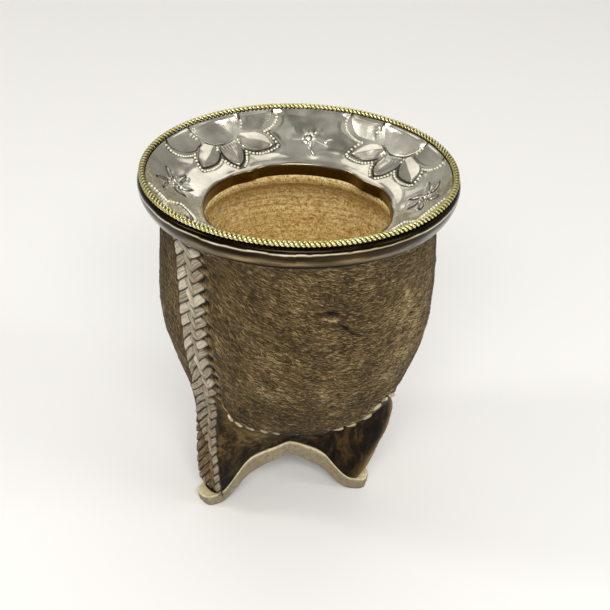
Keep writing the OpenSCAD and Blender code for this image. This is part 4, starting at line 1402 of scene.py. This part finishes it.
def build_sole():
    n = 600
    az = -180 + 360.0 * np.arange(n) / n
    az = az + 0.0
    r = sole_r(az)
    rings, pale_top_and_highlight, under = [], [], []
    rag = 0.10 * noise(az / 4.0, az * 0, az * 0, 81) + 0.06 * noise(az / 1.5, az * 0, az * 0, 82)
    fl = sole_flare(az)

    def ring(d, up, c, u):
        k = np.clip(up / SOLE_T, 0, 1) ** 1.6
        p = sole_pt(az, d + fl * k, up)
        rings.append(p)
        pale_top_and_highlight.append(np.broadcast_to(c, az.shape))
        under.append(np.broadcast_to(u, az.shape))

    footk = np.maximum.reduce([sstep(foot(az, k) * 1.3) for k in range(3)])
    led = vledge(az)
    for f_ in np.linspace(0.0, 1.0, 9):
        ring(np.maximum(mix(0.05, r - led - 1.8, f_), 0.01), SOLE_T, 0.0, 0.6)
    # outer rings: the pale top of the feet with a painted highlight along the rounded top edge, and painted shade on
    # the ledge between the feet
    ring(r - led, SOLE_T, 0.1 + 0.5 * footk, 0.5 - 0.5 * footk)
    ring(r - 0.25 - (led - 0.25) * 0.55, SOLE_T, 0.15 + 0.75 * footk, 0.2 - 0.2 * footk)
    ring(r - 0.25 - (led - 0.25) * 0.15, SOLE_T - 0.01, 0.4 + 0.6 * footk, 0)
    ring(r - 0.24 + rag * 0.3, SOLE_T - 0.05, 0.9, 0)
    ring(r - 0.13 + rag * 0.5, SOLE_T - 0.13, 1.0, 0)
    ring(r - 0.04 + rag, SOLE_T - 0.28, 0.70 + 0.3 * footk, 0)
    ring(r + rag, SOLE_T - 0.50, 0.10 + 0.5 * footk, 0)
    for up_ in (SOLE_T - 0.9, SOLE_T - 1.4, 2.2, 1.6, 1.0, 0.65):
        bulge = 0.08 * math.sin(math.pi * up_ / SOLE_T)
        ring(r + rag + bulge, up_, 0.0 + 0.25 * footk * max(0.0, (up_ - 2.6) / 1.6), 0)
    ring(r - 0.05 + rag, 0.35, 0, 0)
    ring(r - 0.25 + rag * 0.5, 0.10, 0, 0.3)
    ring(r - 0.55, 0.0, 0, 0.7)
    for f_ in np.linspace(1.0, 0.0, 12):
        ring(np.maximum((r - 1.4) * f_, 0.01), 0.0, 0, 1.0)
    P = np.array(rings)
    # slight unevenness of thick leather, none under the feet
    nn = 0.20 * fbm(P[..., 0] / 7, P[..., 1] / 7, P[..., 2] / 5, 2, 85)
    tops = np.arange(len(rings)) < 12
    P[..., 2] += np.where(tops[:, None], 0.3 * nn, nn * np.clip(P[..., 2] / 3, 0, 1))
    P[..., 2] = np.maximum(P[..., 2], 0.0)
    faces = grid_faces(len(rings), n, wrap_m=True)
    ob = make("sole_leather", P.reshape(-1, 3), faces[:, ::-1].copy(), ("sole",))
    attr(ob, "pale_top_and_highlight", np.array(pale_top_and_highlight))
    attr(ob, "under", np.array(under))
    import bmesh
    bm = bmesh.new()
    bm.from_mesh(ob.data)
    bmesh.ops.remove_doubles(bm, verts=bm.verts, dist=2e-5)
    bmesh.ops.recalc_face_normals(bm, faces=bm.faces)
    bm.to_mesh(ob.data)
    bm.free()
    give(ob, mat_sole())
    return ob


# ----------------------------------------------------------------------------
# hide of the base
# ----------------------------------------------------------------------------
def outward(P, rmin):
    l = np.hypot(P[..., 0], P[..., 1])
    k = np.maximum(1, rmin / np.maximum(l, 1e-6))
    P = P.copy()
    P[..., 0] *= k
    P[..., 1] *= k
    return P


# how far out the right leg stands, by height, at its middle
LEG_R_SIDE = np.array([[4.0, 26.6], [9.5, 28.5], [16, 30.7], [24.5, 33.3], [30.5, 34.3], [34, 34.1], [38, 33.4], [42, 35.5]])
LEG_L_AZ = -50.5


def leg_l_plane(z):
    """the left leg is nearly flat under the plait: distance of that flat from the axis"""
    return np.interp(z, [4, 7, 12, 30, 38, 44, 48], [33.6, 34.3, 34.9, 35.0, 35.2, 36.4, 37.4])


def skirt_surface(az, v, side):
    """side 0 outer, 1 inner; az and v broadcast"""
    az, v = np.broadcast_arrays(az, v)
    a = np.radians(az)
    r0 = sole_r(az) - vledge(az) - (1.9 if side else 0) + 0.5 * sole_flare(az)
    b = sole_pt(az, r0, SOLE_T + 0.03)
    z = seam_z(az) - (0.1 if side else 0)
    rt = body_r(z) + (-1.2 if side else seam_off(az))
    t = np.stack([np.sin(a) * rt, -np.cos(a) * rt, z], -1)
    q = mix(b, t, v[..., None])
    u = np.stack([np.sin(a), -np.cos(a), a * 0], -1)
    in_off = 1.8 if side else 0.0
    # drawn in a little between the feet
    legk = np.maximum.reduce([sstep(1 - np.abs(adist(az, L)) / 26) for L in (-47, 66, -168)])
    bow = np.sin(np.pi * v ** 0.85)
    q = q + u * (bow * (0.6 * legk - 0.9 * (1 - legk)))[..., None]
    # right leg follows its own outline
    wa = adist(q_az(q), 70)
    w = np.exp(-(wa / np.where(wa > 0, 17.0, 15.0)) ** 2) * (1 - sstep((v - 0.86) / 0.14)) * sstep(v / 0.06)
    l = np.hypot(q[..., 0], q[..., 1])
    want = np.interp(q[..., 2], LEG_R_SIDE[:, 0], LEG_R_SIDE[:, 1]) - in_off
    ua = q_az(q)
    uq = np.stack([np.sin(np.radians(ua)), -np.cos(np.radians(ua)), ua * 0], -1)
    q = q + uq * (w * (want - l))[..., None]
    # left leg: flat under the plait
    da = adist(q_az(q), LEG_L_AZ)
    l = np.hypot(q[..., 0], q[..., 1])
    flat = (leg_l_plane(q[..., 2]) - in_off) / np.cos(np.radians(np.clip(da, -16, 16)))
    wl = (1 - sstep((np.abs(da) - 8.5) / 5.5)) * (1 - sstep((v - 0.90) / 0.1)) * sstep(v / 0.05)
    q = q + uq * (wl * (flat - l))[..., None]
    if not side:
        wr = (0.32 * fbm(q[..., 0] / 5, q[..., 1] / 5, q[..., 2] / 8, 2, 91)
              + 0.14 * noise(q[..., 0] / 1.6, q[..., 1] / 1.6, q[..., 2] / 3, 95))
        fold = 0.55 * np.exp(-((adist(az, 47) - 9 * (0.8 - v)) / 3.2) ** 2) * np.exp(-((v - 0.72) / 0.2) ** 2)
        fold = fold - 0.5 * np.exp(-((adist(az, 41) - 12 * (0.8 - v)) / 2.4) ** 2) * np.exp(-((v - 0.62) / 0.25) ** 2)
        fold = fold + 0.45 * np.exp(-((adist(az, -26) + 10 * (0.8 - v)) / 3.0) ** 2) * np.exp(-((v - 0.75) / 0.16) ** 2)
        q = q + u * ((wr + fold) * np.sin(np.pi * np.clip(v, 0.03, 0.97)))[..., None]
        # puckers at the stitches
        arcs = np.radians(az) * (body_r(z) + 1)
        pk = -0.20 * np.cos(2 * np.pi * arcs / 4.1) * np.exp(-((1 - v) / 0.12) ** 2)
        q = q + u * pk[..., None]
    return outward(q, body_r(q[..., 2]) + (np.where(v > 0.95, 0.05, 0.25) if side else 0.55))


def q_az(q):
    return np.degrees(np.arctan2(q[..., 0], -q[..., 1]))


def build_base_hide():
    n = 540
    az = -180 + 360.0 * np.arange(n) / n
    vo = np.concatenate([[1.0, 0.985, 0.96], np.linspace(0.93, 0.06, 46), [0.03, 0.0]])
    vi = np.concatenate([[0.0, 0.03], np.linspace(0.08, 0.9, 14), [0.95, 0.99]])
    rows = [skirt_surface(az, np.full(n, v), 0) for v in vo] + [skirt_surface(az, np.full(n, v), 1) for v in vi]
    P = np.array(rows)
    # round the sewn edge
    P[0] = mix(P[0], P[-1], 0.35)
    faces = grid_faces(len(rows), n, wrap_n=True, wrap_m=True)
    ob = make("base_hide_visual", P.reshape(-1, 3), faces.copy(), ("base_hide",))
    v_all = np.concatenate([vo, vi])[:, None] * np.ones(n)[None, :]
    e = np.clip((v_all - 0.86) / 0.1, 0, 1) * 0.35
    e[len(vo):] = 0
    leftk = sstep(1 - np.abs(adist(az, -24)) / 20)[None, :]
    rightk = sstep(1 - np.abs(adist(az, 43)) / 14)[None, :]
    e = e * (0.4 + 0.6 * leftk + 0.8 * rightk)
    nz_ = 0.5 + 0.5 * noise(az[None, :] / 5, v_all * 7, v_all * 0, 97)
    e = np.maximum(e, 0.60 * leftk * np.exp(-((v_all - 0.76) / 0.17) ** 2) * nz_)
    e = np.maximum(e, 0.45 * rightk * np.exp(-((v_all - 0.86) / 0.12) ** 2) * nz_)
    attr(ob, "edge", np.clip(e, 0, 1))
    w = sstep((adist(az, 66)) / 8)[None, :] * (1 - sstep((adist(az, 92)) / 16))[None, :] * np.ones_like(v_all)
    attr(ob, "warm", w)
    lf = sstep((adist(az, -48)) / 8)[None, :] * (1 - sstep((adist(az, -24)) / 22))[None, :] * (0.25 + 0.75 * sstep(1 - np.abs(v_all - 0.62) / 0.5))
    attr(ob, "left", np.clip(lf * (0.7 + 0.6 * noise(az[None, :] / 4, v_all * 6, v_all * 0, 98)), 0, 1))
    import bmesh
    bm = bmesh.new()
    bm.from_mesh(ob.data)
    bmesh.ops.recalc_face_normals(bm, faces=bm.faces)
    bm.to_mesh(ob.data)
    bm.free()
    give(ob, mat_base())
    return ob


# ----------------------------------------------------------------------------
# plait
# ----------------------------------------------------------------------------
def bvh_of(*obs):
    vs, fs, base = [], [], 0
    for o in obs:
        vs += [v.co.copy() for v in o.data.vertices]
        fs += [[i + base for i in p.vertices] for p in o.data.polygons]
        base = len(vs)
    return BVHTree.FromPolygons(vs, fs)


def lace_base_table(tree):
    """distance from the axis of what the plait lies on, on a grid (z, arc)"""
    zs = np.linspace(4.6, 103.0, 200)
    us = np.linspace(-1.5, 1.5, 31)
    tab = np.zeros((len(zs), len(us)))
    for i, z in enumerate(zs):
        az0 = float(braid_az(z))
        r0 = float(body_r(z)) if z > 46 else 36.5
        for j, u in enumerate(us):
            a = math.radians(az0 + math.degrees(u * float(bw(z)) / 2 / r0))
            d = Vector((math.sin(a), -math.cos(a), 0))
            o = d * 0.09 + Vector((0, 0, z * MM))
            hit = tree.ray_cast(o, -d, 0.08)
            tab[i, j] = (math.hypot(hit[0].x, hit[0].y) / MM) if hit[0] is not None else np.nan
    for j in range(tab.shape[1]):
        col = tab[:, j]
        bad = np.isnan(col) | (col < 26)
        if bad.any() and (~bad).any():
            col[bad] = np.interp(zs[bad], zs[~bad], col[~bad])
    # on the leg it lies on the flat of the leg
    for i, z in enumerate(zs):
        if z < 30:
            az_u = float(braid_az(z)) + np.degrees(us * float(bw(z)) / 2 / 36.5)
            lim = leg_l_plane(z) / np.cos(np.radians(np.clip(az_u - LEG_L_AZ, -18, 18))) + 0.15
            want = np.maximum(body_r(z) + 0.6, lim)
            tab[i] = mix(tab[i], want, float(sstep((24.0 - z) / 8.0)))
    k = np.array([1, 2, 3, 2, 1]) / 9.0
    sm = np.apply_along_axis(lambda c: np.convolve(np.pad(c, 2, mode="edge"), k, "valid"), 0, tab)
    sm = np.apply_along_axis(lambda c: np.convolve(np.pad(c, 2, mode="edge"), k, "valid"), 1, sm)
    return zs, us, np.maximum(sm, tab - 0.1)


def bilinear(zs, us, tab, z, u):
    zi = np.clip((z - zs[0]) / (zs[1] - zs[0]), 0, len(zs) - 1.001)
    ui = np.clip((u - us[0]) / (us[1] - us[0]), 0, len(us) - 1.001)
    a, b = zi.astype(int), ui.astype(int)
    fz, fu = zi - a, ui - b
    return ((tab[a, b] * (1 - fu) + tab[a, b + 1] * fu) * (1 - fz)
            + (tab[a + 1, b] * (1 - fu) + tab[a + 1, b + 1] * fu) * fz)


def build_lace(cover, skirt):
    zs, us, tab = lace_base_table(bvh_of(cover, skirt))
    total = BRAID_TOP - 5.4
    n_s, n_x = 720, 94
    s = np.linspace(0.0, total, n_s)[:, None]
    # columns evenly spaced across the plait
    uu = np.linspace(-1, 1, n_x)[None, :]
    u = uu + 0.0 * s
    z = BRAID_TOP - s + 0.0 * u
    W = bw(z)
    x = u * W / 2
    # on the leg the middle of the plait lies further right
    lean = 2.1 * sstep((62 - z) / 14)
    # the strands wander a little; they sit tighter on the leg and run steeper at the top
    sw = s + 0.24 * noise(x / 2.6 + 9, s / 2.6, x * 0, 123) + np.clip(s - 55, 0, None) * 0.035
    xw = x - lean + 0.20 * noise(x / 3.0, s / 3.2, x * 0, 121)
    xw = xw * (1 - 0.30 * sstep((9 - s) / 9))
    ka = 0.656
    kb = 1 / mix(0.80, 1.22, sstep((s - 24) / 22))
    be = (sw + xw / kb) / PITCH + 0.153
    al = (sw - xw / ka) / PITCH - 1.237
    i, j = np.floor(al), np.floor(be)
    m_ = j - i
    over_a = (m_ == 1) | (m_ == 2)
    fa, fb = al - i, be - j
    wa, wb = PITCH * ka / math.hypot(1, ka), PITCH * kb / np.hypot(1, kb)
    d = np.where(over_a, np.minimum(fa, 1 - fa) * wa, np.minimum(fb, 1 - fb) * wb)
    ea = np.minimum(be - (i + 1), (i + 3) - be) * wb
    eb = np.where(m_ <= 0, al - j, (j - 2) - al) * wa
    e = np.maximum(np.where(over_a, ea, eb), 0)
    right = (~over_a) & (m_ >= 3)
    left = (~over_a) & (m_ <= 0)
    kid = np.where(over_a, i, j + np.where(right, 500, 1000))
    rnd = _hash(kid.astype(np.int64), 0 * kid.astype(np.int64), 0 * kid.astype(np.int64), 131)
    rnd2 = _hash(kid.astype(np.int64), 0 * kid.astype(np.int64), 0 * kid.astype(np.int64), 133)
    near = np.minimum(d, e)
    groove = np.exp(-(near / mix(0.175, 0.20, sstep((50 - z) / 10))) ** 2)
    # the line under the upper edge of each side block is the deepest
    deep = np.exp(-(np.where(over_a, 9.0, fb * wb) / 0.19) ** 2)
    h = np.where(right, 1.22, np.where(left, 1.02, 1.02)) + 0.14 * (rnd - 0.5)
    tilt = np.where(over_a, 0.10 * (fa - 0.5), 0.30 * (fb - 0.45))
    h = h + tilt - 0.26 * np.exp(-(d / 0.30) ** 1.5)
    h = h - np.where(over_a, 0.50 * np.exp(-(e / 0.95) ** 2), 0.26 * np.exp(-(e / 0.7) ** 2))
    # wrinkles along the strands
    al_mm = np.where(over_a, sw * 0.836 + xw * 0.549, -sw * 0.64 + xw * 0.768)
    ac_mm = np.where(over_a, fa * wa, fb * wb)
    h = h + 0.060 * noise(al_mm / 2.2, ac_mm / 0.42, kid, 135) + 0.03 * noise(al_mm / 0.7, ac_mm / 0.3, kid, 136)
    split = np.exp(-((ac_mm - (0.35 + 0.3 * rnd2) * np.where(over_a, wa, wb) - 0.12 * np.sin(al_mm * 1.1 + 9 * rnd)) / 0.10) ** 2) * (rnd2 > 0.35)
    h = h - 0.12 * split - 0.56 * groove - 0.26 * deep
    # right edge: a rounded tip for each block, a black hole above it
    body_part = sstep((z - 38) / 8)
    xr = W / 2 - (2.70 * body_part + 1.1 * (1 - body_part)) * (1 - fb) ** 1.75 - 0.55 * fb ** 5 - 0.10
    dr = xr - x
    xl = -W / 2 + 0.12 + 0.30 * np.exp(-(np.minimum(fb, 1 - fb) * wb / 0.5) ** 2) * (0.5 + rnd)
    dl = x - xl
    roll = np.clip(1 - (1 - np.clip(dr / 0.95, 0, 1)) ** 2.2, 0, 1) * np.clip(1 - (1 - np.clip(dl / 1.15, 0, 1)) ** 2.2, 0, 1)
    h = h * (0.10 + 0.90 * roll)
    h = np.where((dr < 0) | (dl < 0), 0.05, h)
    # a second fine line down the left edge
    h = h - 0.16 * np.exp(-((dl - 0.75 - 0.15 * noise(s / 1.7, s * 0, s * 0, 139)) / 0.14) ** 2) * (0.4 + 0.6 * rnd)
    gap_ = np.maximum.reduce([groove * 0.96, 0.85 * deep, 0.55 * split, 0.55 * np.exp(-(e / 0.35) ** 2) * over_a,
                              np.clip(0.5 - dr / 0.22, 0, 1), 0.75 * np.exp(-(np.clip(dl, 0, 9) / 0.20) ** 2),
                              0.45 * np.exp(-((dl - 0.75) / 0.14) ** 2) * (0.3 + 0.7 * rnd)])
    # worn brown stretch of the leg, with a dark cut above it, and the open loop at the foot
    al0 = float(((BRAID_TOP - 33.0) + (69.0 - 55) * 0.035 + 7.4 / ka) / PITCH - 1.237)
    al1 = float(((BRAID_TOP - 13.0) + (89.0 - 55) * 0.035 + 7.4 / ka) / PITCH - 1.237)
    brown = sstep((al - al0) / 0.10) * (1 - sstep((al - al1) / 0.12)) * (1 - right * 1.0)
    cut = np.exp(-((al - al0 - 0.12) / 0.15) ** 2) * (1 - right * 1.0)
    # worn smooth: the lines fade into a fine weave there
    weave = np.clip(np.sin((s * 0.8 + x) * 5.2) * np.sin((s * 0.8 - x) * 4.6) + 0.5 * noise(x / 0.6, s / 0.6, x * 0, 141), -1, 1)
    gap_ = mix(gap_, 0.55 * gap_ + 0.45 * np.clip(weave, 0, 1), brown)
    h = h + 0.05 * weave * brown
    gap_ = np.maximum(gap_, 0.95 * cut)
    h = h - 0.45 * cut * (h > 0.4)
    brown = np.maximum(brown, (0.55 + 0.24 * (rnd - 0.5)) * sstep((62 - z) / 20) + 0.10 * sstep((12 - z) / 4))
    hole = np.exp(-(((x + 0.3) / 2.0) ** 2 + ((z - 6.6 + 0.22 * x) / 0.55) ** 2) ** 2)
    gap_ = np.maximum(gap_, hole)
    h = h - 0.6 * hole
    ends = sstep((total - s) / 0.5)
    h = np.maximum(h * (0.25 + 0.75 * ends), 0.04)

    def place(u_, z_, h_):
        """u across (-1..1), h mm above the hide"""
        base = bilinear(zs, us, tab, z_, u_)
        r0 = np.where(z_ > 46, body_r(z_), 36.5)
        a = np.radians(braid_az(z_) + np.degrees(u_ * bw(z_) / 2 / r0))
        r = base + h_
        return np.stack([r * np.sin(a), -r * np.cos(a), z_], -1)

    top = place(u, z, h)
    ub = np.linspace(0.97, -0.97, 5)[None, :] + 0 * s
    zb = BRAID_TOP - s + 0 * ub
    bot = place(ub, zb, np.full(ub.shape, -0.25))
    P = np.concatenate([top, bot], 1)
    m_all = n_x + 5
    F = grid_faces(n_s, m_all, wrap_m=True)
    faces = [tuple(f) for f in F] + [tuple(range(m_all))[::-1], tuple((n_s - 1) * m_all + k for k in range(m_all))]
    ob = make("plaited_lace", P.reshape(-1, 3), faces, ("braided_seam",))

    def full(v, fill):
        return np.concatenate([v, np.full((n_s, 5), fill)], 1)

    attr(ob, "gap", full(np.clip(gap_, 0, 1), 1.0))
    attr(ob, "brown", full(np.clip(brown, 0, 1), 0.0))
    attr(ob, "tint", full(np.clip(0.5 + 0.9 * (rnd - 0.5) + 0.15 * right, 0, 1), 0.5))
    tu = full(al_mm / 10.0 + rnd * 3.0, 0)
    tv = full(ac_mm / 4.0 + kid * 0.37, 0)
    UV = np.stack([tu.ravel(), tv.ravel()], -1)
    loops = np.concatenate([F.ravel(), np.array(faces[-2]), np.array(faces[-1])])
    loop_uv(ob, "strand", UV[loops])
    import bmesh
    bm = bmesh.new()
    bm.from_mesh(ob.data)
    bmesh.ops.recalc_face_normals(bm, faces=bm.faces)
    bm.to_mesh(ob.data)
    bm.free()
    give(ob, mat_lace())
    return ob


# ----------------------------------------------------------------------------
# whip stitches
# ----------------------------------------------------------------------------
def build_stitches(cover, skirt):
    tree = bvh_of(cover, skirt)
    rng = np.random.RandomState(3)
    # stitches evenly spaced along the seam
    verts, faces, count = [], [], 0
    # visible ones at the front, evenly spaced ones behind
    az = -33.0
    stops = []
    while az < -33 + 318:
        z = float(seam_z(az))
        r = float(body_r(z)) + 1.0
        stops.append(az)
        slope = float(seam_z(az + 1) - seam_z(az - 1)) / (2 * math.pi / 180 * r)
        az += math.degrees(4.25 / r) / math.sqrt(1 + slope * slope)
    for az in stops:
        r = float(body_r(seam_z(az))) + 1
        slope = float(seam_z(az + 1) - seam_z(az - 1)) / (2 * math.pi / 180 * r)
        l = math.sqrt(1 + slope * slope)
        tx, tz = 1 / l, slope / l
        # a stitch leans: from above the edge to below it along the seam
        ang = math.radians(-16 + 6 * rng.rand())
        dx = tx * math.cos(ang) - tz * math.sin(ang)
        dz = tx * math.sin(ang) + tz * math.cos(ang)
        half = 1.65 + 0.15 * rng.rand()
        L, K = 11, 8
        t = np.linspace(-1, 1, L)
        pts = []
        for q in t:
            az_q = az + math.degrees(dx * q * half / r)
            z_q = float(seam_z(az)) + dz * q * half - 0.1
            a = math.radians(az_q)
            d = Vector((math.sin(a), -math.cos(a), 0))
            hit = tree.ray_cast(d * 0.08 + Vector((0, 0, z_q * MM)), -d, 0.08)
            rr = math.hypot(hit[0].x, hit[0].y) / MM if hit[0] is not None else r
            pts.append([rr, az_q, z_q])
        pts = np.array(pts)
        rs = np.convolve(np.pad(pts[:, 0], 3, mode="edge"), np.ones(7) / 7, "valid")
        mid = float(sstep((adist(az, -13)) / 7) * (1 - sstep((adist(az, 19)) / 7)))
        rad = (0.60 - 0.14 * mid) * np.sqrt(np.clip(1 - np.abs(t) ** 3.2, 0.0, 1)) + 0.02
        lift = 0.30 - 0.45 * np.abs(t) ** 3 - 0.55 * mid
        c = np.stack([(rs + lift) * np.sin(np.radians(pts[:, 1])), -(rs + lift) * np.cos(np.radians(pts[:, 1])), pts[:, 2]], -1)
        tg = np.gradient(c, axis=0)
        tg /= np.linalg.norm(tg, axis=1)[:, None]
        outv = np.stack([np.sin(np.radians(pts[:, 1])), -np.cos(np.radians(pts[:, 1])), 0 * t], -1)
        e1 = outv - tg * (outv * tg).sum(1)[:, None]
        e1 /= np.linalg.norm(e1, axis=1)[:, None]
        e2 = np.cross(tg, e1)
        ring = np.arange(K) * 2 * np.pi / K
        P = c[:, None, :] + rad[:, None, None] * (0.85 * np.cos(ring)[None, :, None] * e1[:, None, :] + np.sin(ring)[None, :, None] * e2[:, None, :])
        verts.append(P.reshape(-1, 3))
        faces += [tuple(f) for f in grid_faces(L, K, wrap_m=True, base=count)]
        faces.append(tuple(count + np.arange(K)[::-1]))
        faces.append(tuple(count + (L - 1) * K + np.arange(K)))
        count += L * K
    ob = make("whip_stitches", np.concatenate(verts), faces, ("base_stitches",))
    import bmesh
    bm = bmesh.new()
    bm.from_mesh(ob.data)
    bmesh.ops.recalc_face_normals(bm, faces=bm.faces)
    bm.to_mesh(ob.data)
    bm.free()
    give(ob, mat_thread())
    return ob


collar = build_collar()
band = build_band()
rope = build_rope()
gourd = build_gourd()
cover = build_cover()
hairs = build_hairs()
sole = build_sole()
skirt = build_base_hide()
lace = build_lace(cover, skirt)
stitches = build_stitches(cover, skirt)


# ----------------------------------------------------------------------------
# floor, lights, world
# ----------------------------------------------------------------------------
def build_floor():
    me = bpy.data.meshes.new("floor")
    s = 6.0
    me.from_pydata([(-s, -s, 0), (s, -s, 0), (s, s, 0), (-s, s, 0)], [], [(0, 1, 2, 3)])
    ob = bpy.data.objects.new("floor", me)
    SC.collection.objects.link(ob)
    m = Mat("floor_white")
    c = m.coord()
    n = m.noise(c, 3.0, 2.0, 0.5)
    m.set("Base Color", m.mixc(n, (0.90, 0.90, 0.90), (0.93, 0.93, 0.93)))
    m.set("Roughness", 0.9)
    m.set("Specular IOR Level", 0.1)
    ob.data.materials.append(m.m)
    return ob


build_floor()


def area(name, loc, target, size, power, color=(1, 1, 1), size_y=None):
    d = bpy.data.lights.new(name, "AREA")
    d.shape = "RECTANGLE"
    d.size = size
    d.size_y = size_y or size
    d.energy = power
    d.color = color
    o = bpy.data.objects.new(name, d)
    SC.collection.objects.link(o)
    o.location = loc
    v = Vector(target) - Vector(loc)
    o.rotation_euler = v.to_track_quat("-Z", "Y").to_euler()
    return o


area("front", (0.04, -0.78, 0.74), (0, 0, 0.09), 0.60, 4.8, (1.0, 0.985, 0.955), 0.22)
area("left", (-0.62, 0.02, 0.62), (0, 0, 0.09), 0.14, 1.2, (1.0, 0.97, 0.92), 0.36)
area("down", (0.02, 0.74, 0.92), (0, 0, 0.04), 1.20, 2.6, (1.0, 0.975, 0.93), 0.80)
area("spark", (-0.10, -0.86, 0.78), (0, 0, 0.08), 0.80, 2.5, (1.0, 0.98, 0.945), 0.34)
area("glint", (0.71, -0.20, 0.89), (0, 0, 0.10), 0.14, 0.5, (1.0, 0.985, 0.95), 0.11)
area("right", (0.80, -0.30, 0.45), (0, 0, 0.07), 0.36, 1.5, (1.0, 0.985, 0.96), 0.22)

world = bpy.data.worlds.new("world")
SC.world = world
world.use_nodes = True
wt = world.node_tree
bg = wt.nodes["Background"]
tc = wt.nodes.new("ShaderNodeTexCoord")
sep = wt.nodes.new("ShaderNodeSeparateXYZ")
wt.links.new(tc.outputs["Generated"], sep.inputs[0])
rampn = wt.nodes.new("ShaderNodeValToRGB")
e = rampn.color_ramp.elements
e[0].position = 0.0
e[0].color = (0.10, 0.095, 0.085, 1)
e[1].position = 1.0
e[1].color = (0.46, 0.45, 0.43, 1)
for pos, col in ((0.10, (0.09, 0.088, 0.085)), (0.30, (0.24, 0.235, 0.22)), (0.60, (0.38, 0.37, 0.345)), (0.85, (0.46, 0.45, 0.42))):
    x = e.new(pos)
    x.color = (*col, 1)
wt.links.new(sep.outputs[2], rampn.inputs[0])
# soft uneven patches, as a room has
wn = wt.nodes.new("ShaderNodeTexNoise")
wn.inputs["Scale"].default_value = 2.8
wn.inputs["Detail"].default_value = 1.0
wt.links.new(tc.outputs["Generated"], wn.inputs["Vector"])
wr = wt.nodes.new("ShaderNodeMapRange")
wr.inputs[1].default_value = 0.35
wr.inputs[2].default_value = 0.65
wr.inputs[3].default_value = 0.30
wr.inputs[4].default_value = 1.75
wt.links.new(wn.outputs["Fac"], wr.inputs[0])
wm = wt.nodes.new("ShaderNodeMix")
wm.data_type = "RGBA"
wm.blend_type = "MULTIPLY"
wm.inputs[0].default_value = 1.0
wt.links.new(rampn.outputs[0], wm.inputs[6])
wt.links.new(wr.outputs[0], wm.inputs[7])
# a paler wall behind
ym = wt.nodes.new("ShaderNodeMapRange")
ym.interpolation_type = "SMOOTHSTEP"
ym.inputs[1].default_value = -0.45
ym.inputs[2].default_value = 0.45
ym.inputs[3].default_value = 0.0
ym.inputs[4].default_value = 0.66
wt.links.new(sep.outputs[1], ym.inputs[0])
wb = wt.nodes.new("ShaderNodeMix")
wb.data_type = "RGBA"
wt.links.new(ym.outputs[0], wb.inputs[0])
wt.links.new(wm.outputs[2], wb.inputs[6])
wb.inputs[7].default_value = (0.50, 0.49, 0.46, 1)
wt.links.new(wb.outputs[2], bg.inputs[0])
bg.inputs[1].default_value = 1.0

SC.view_settings.view_transform = "Standard"
SC.view_settings.look = "None"
SC.view_settings.exposure = 0.0
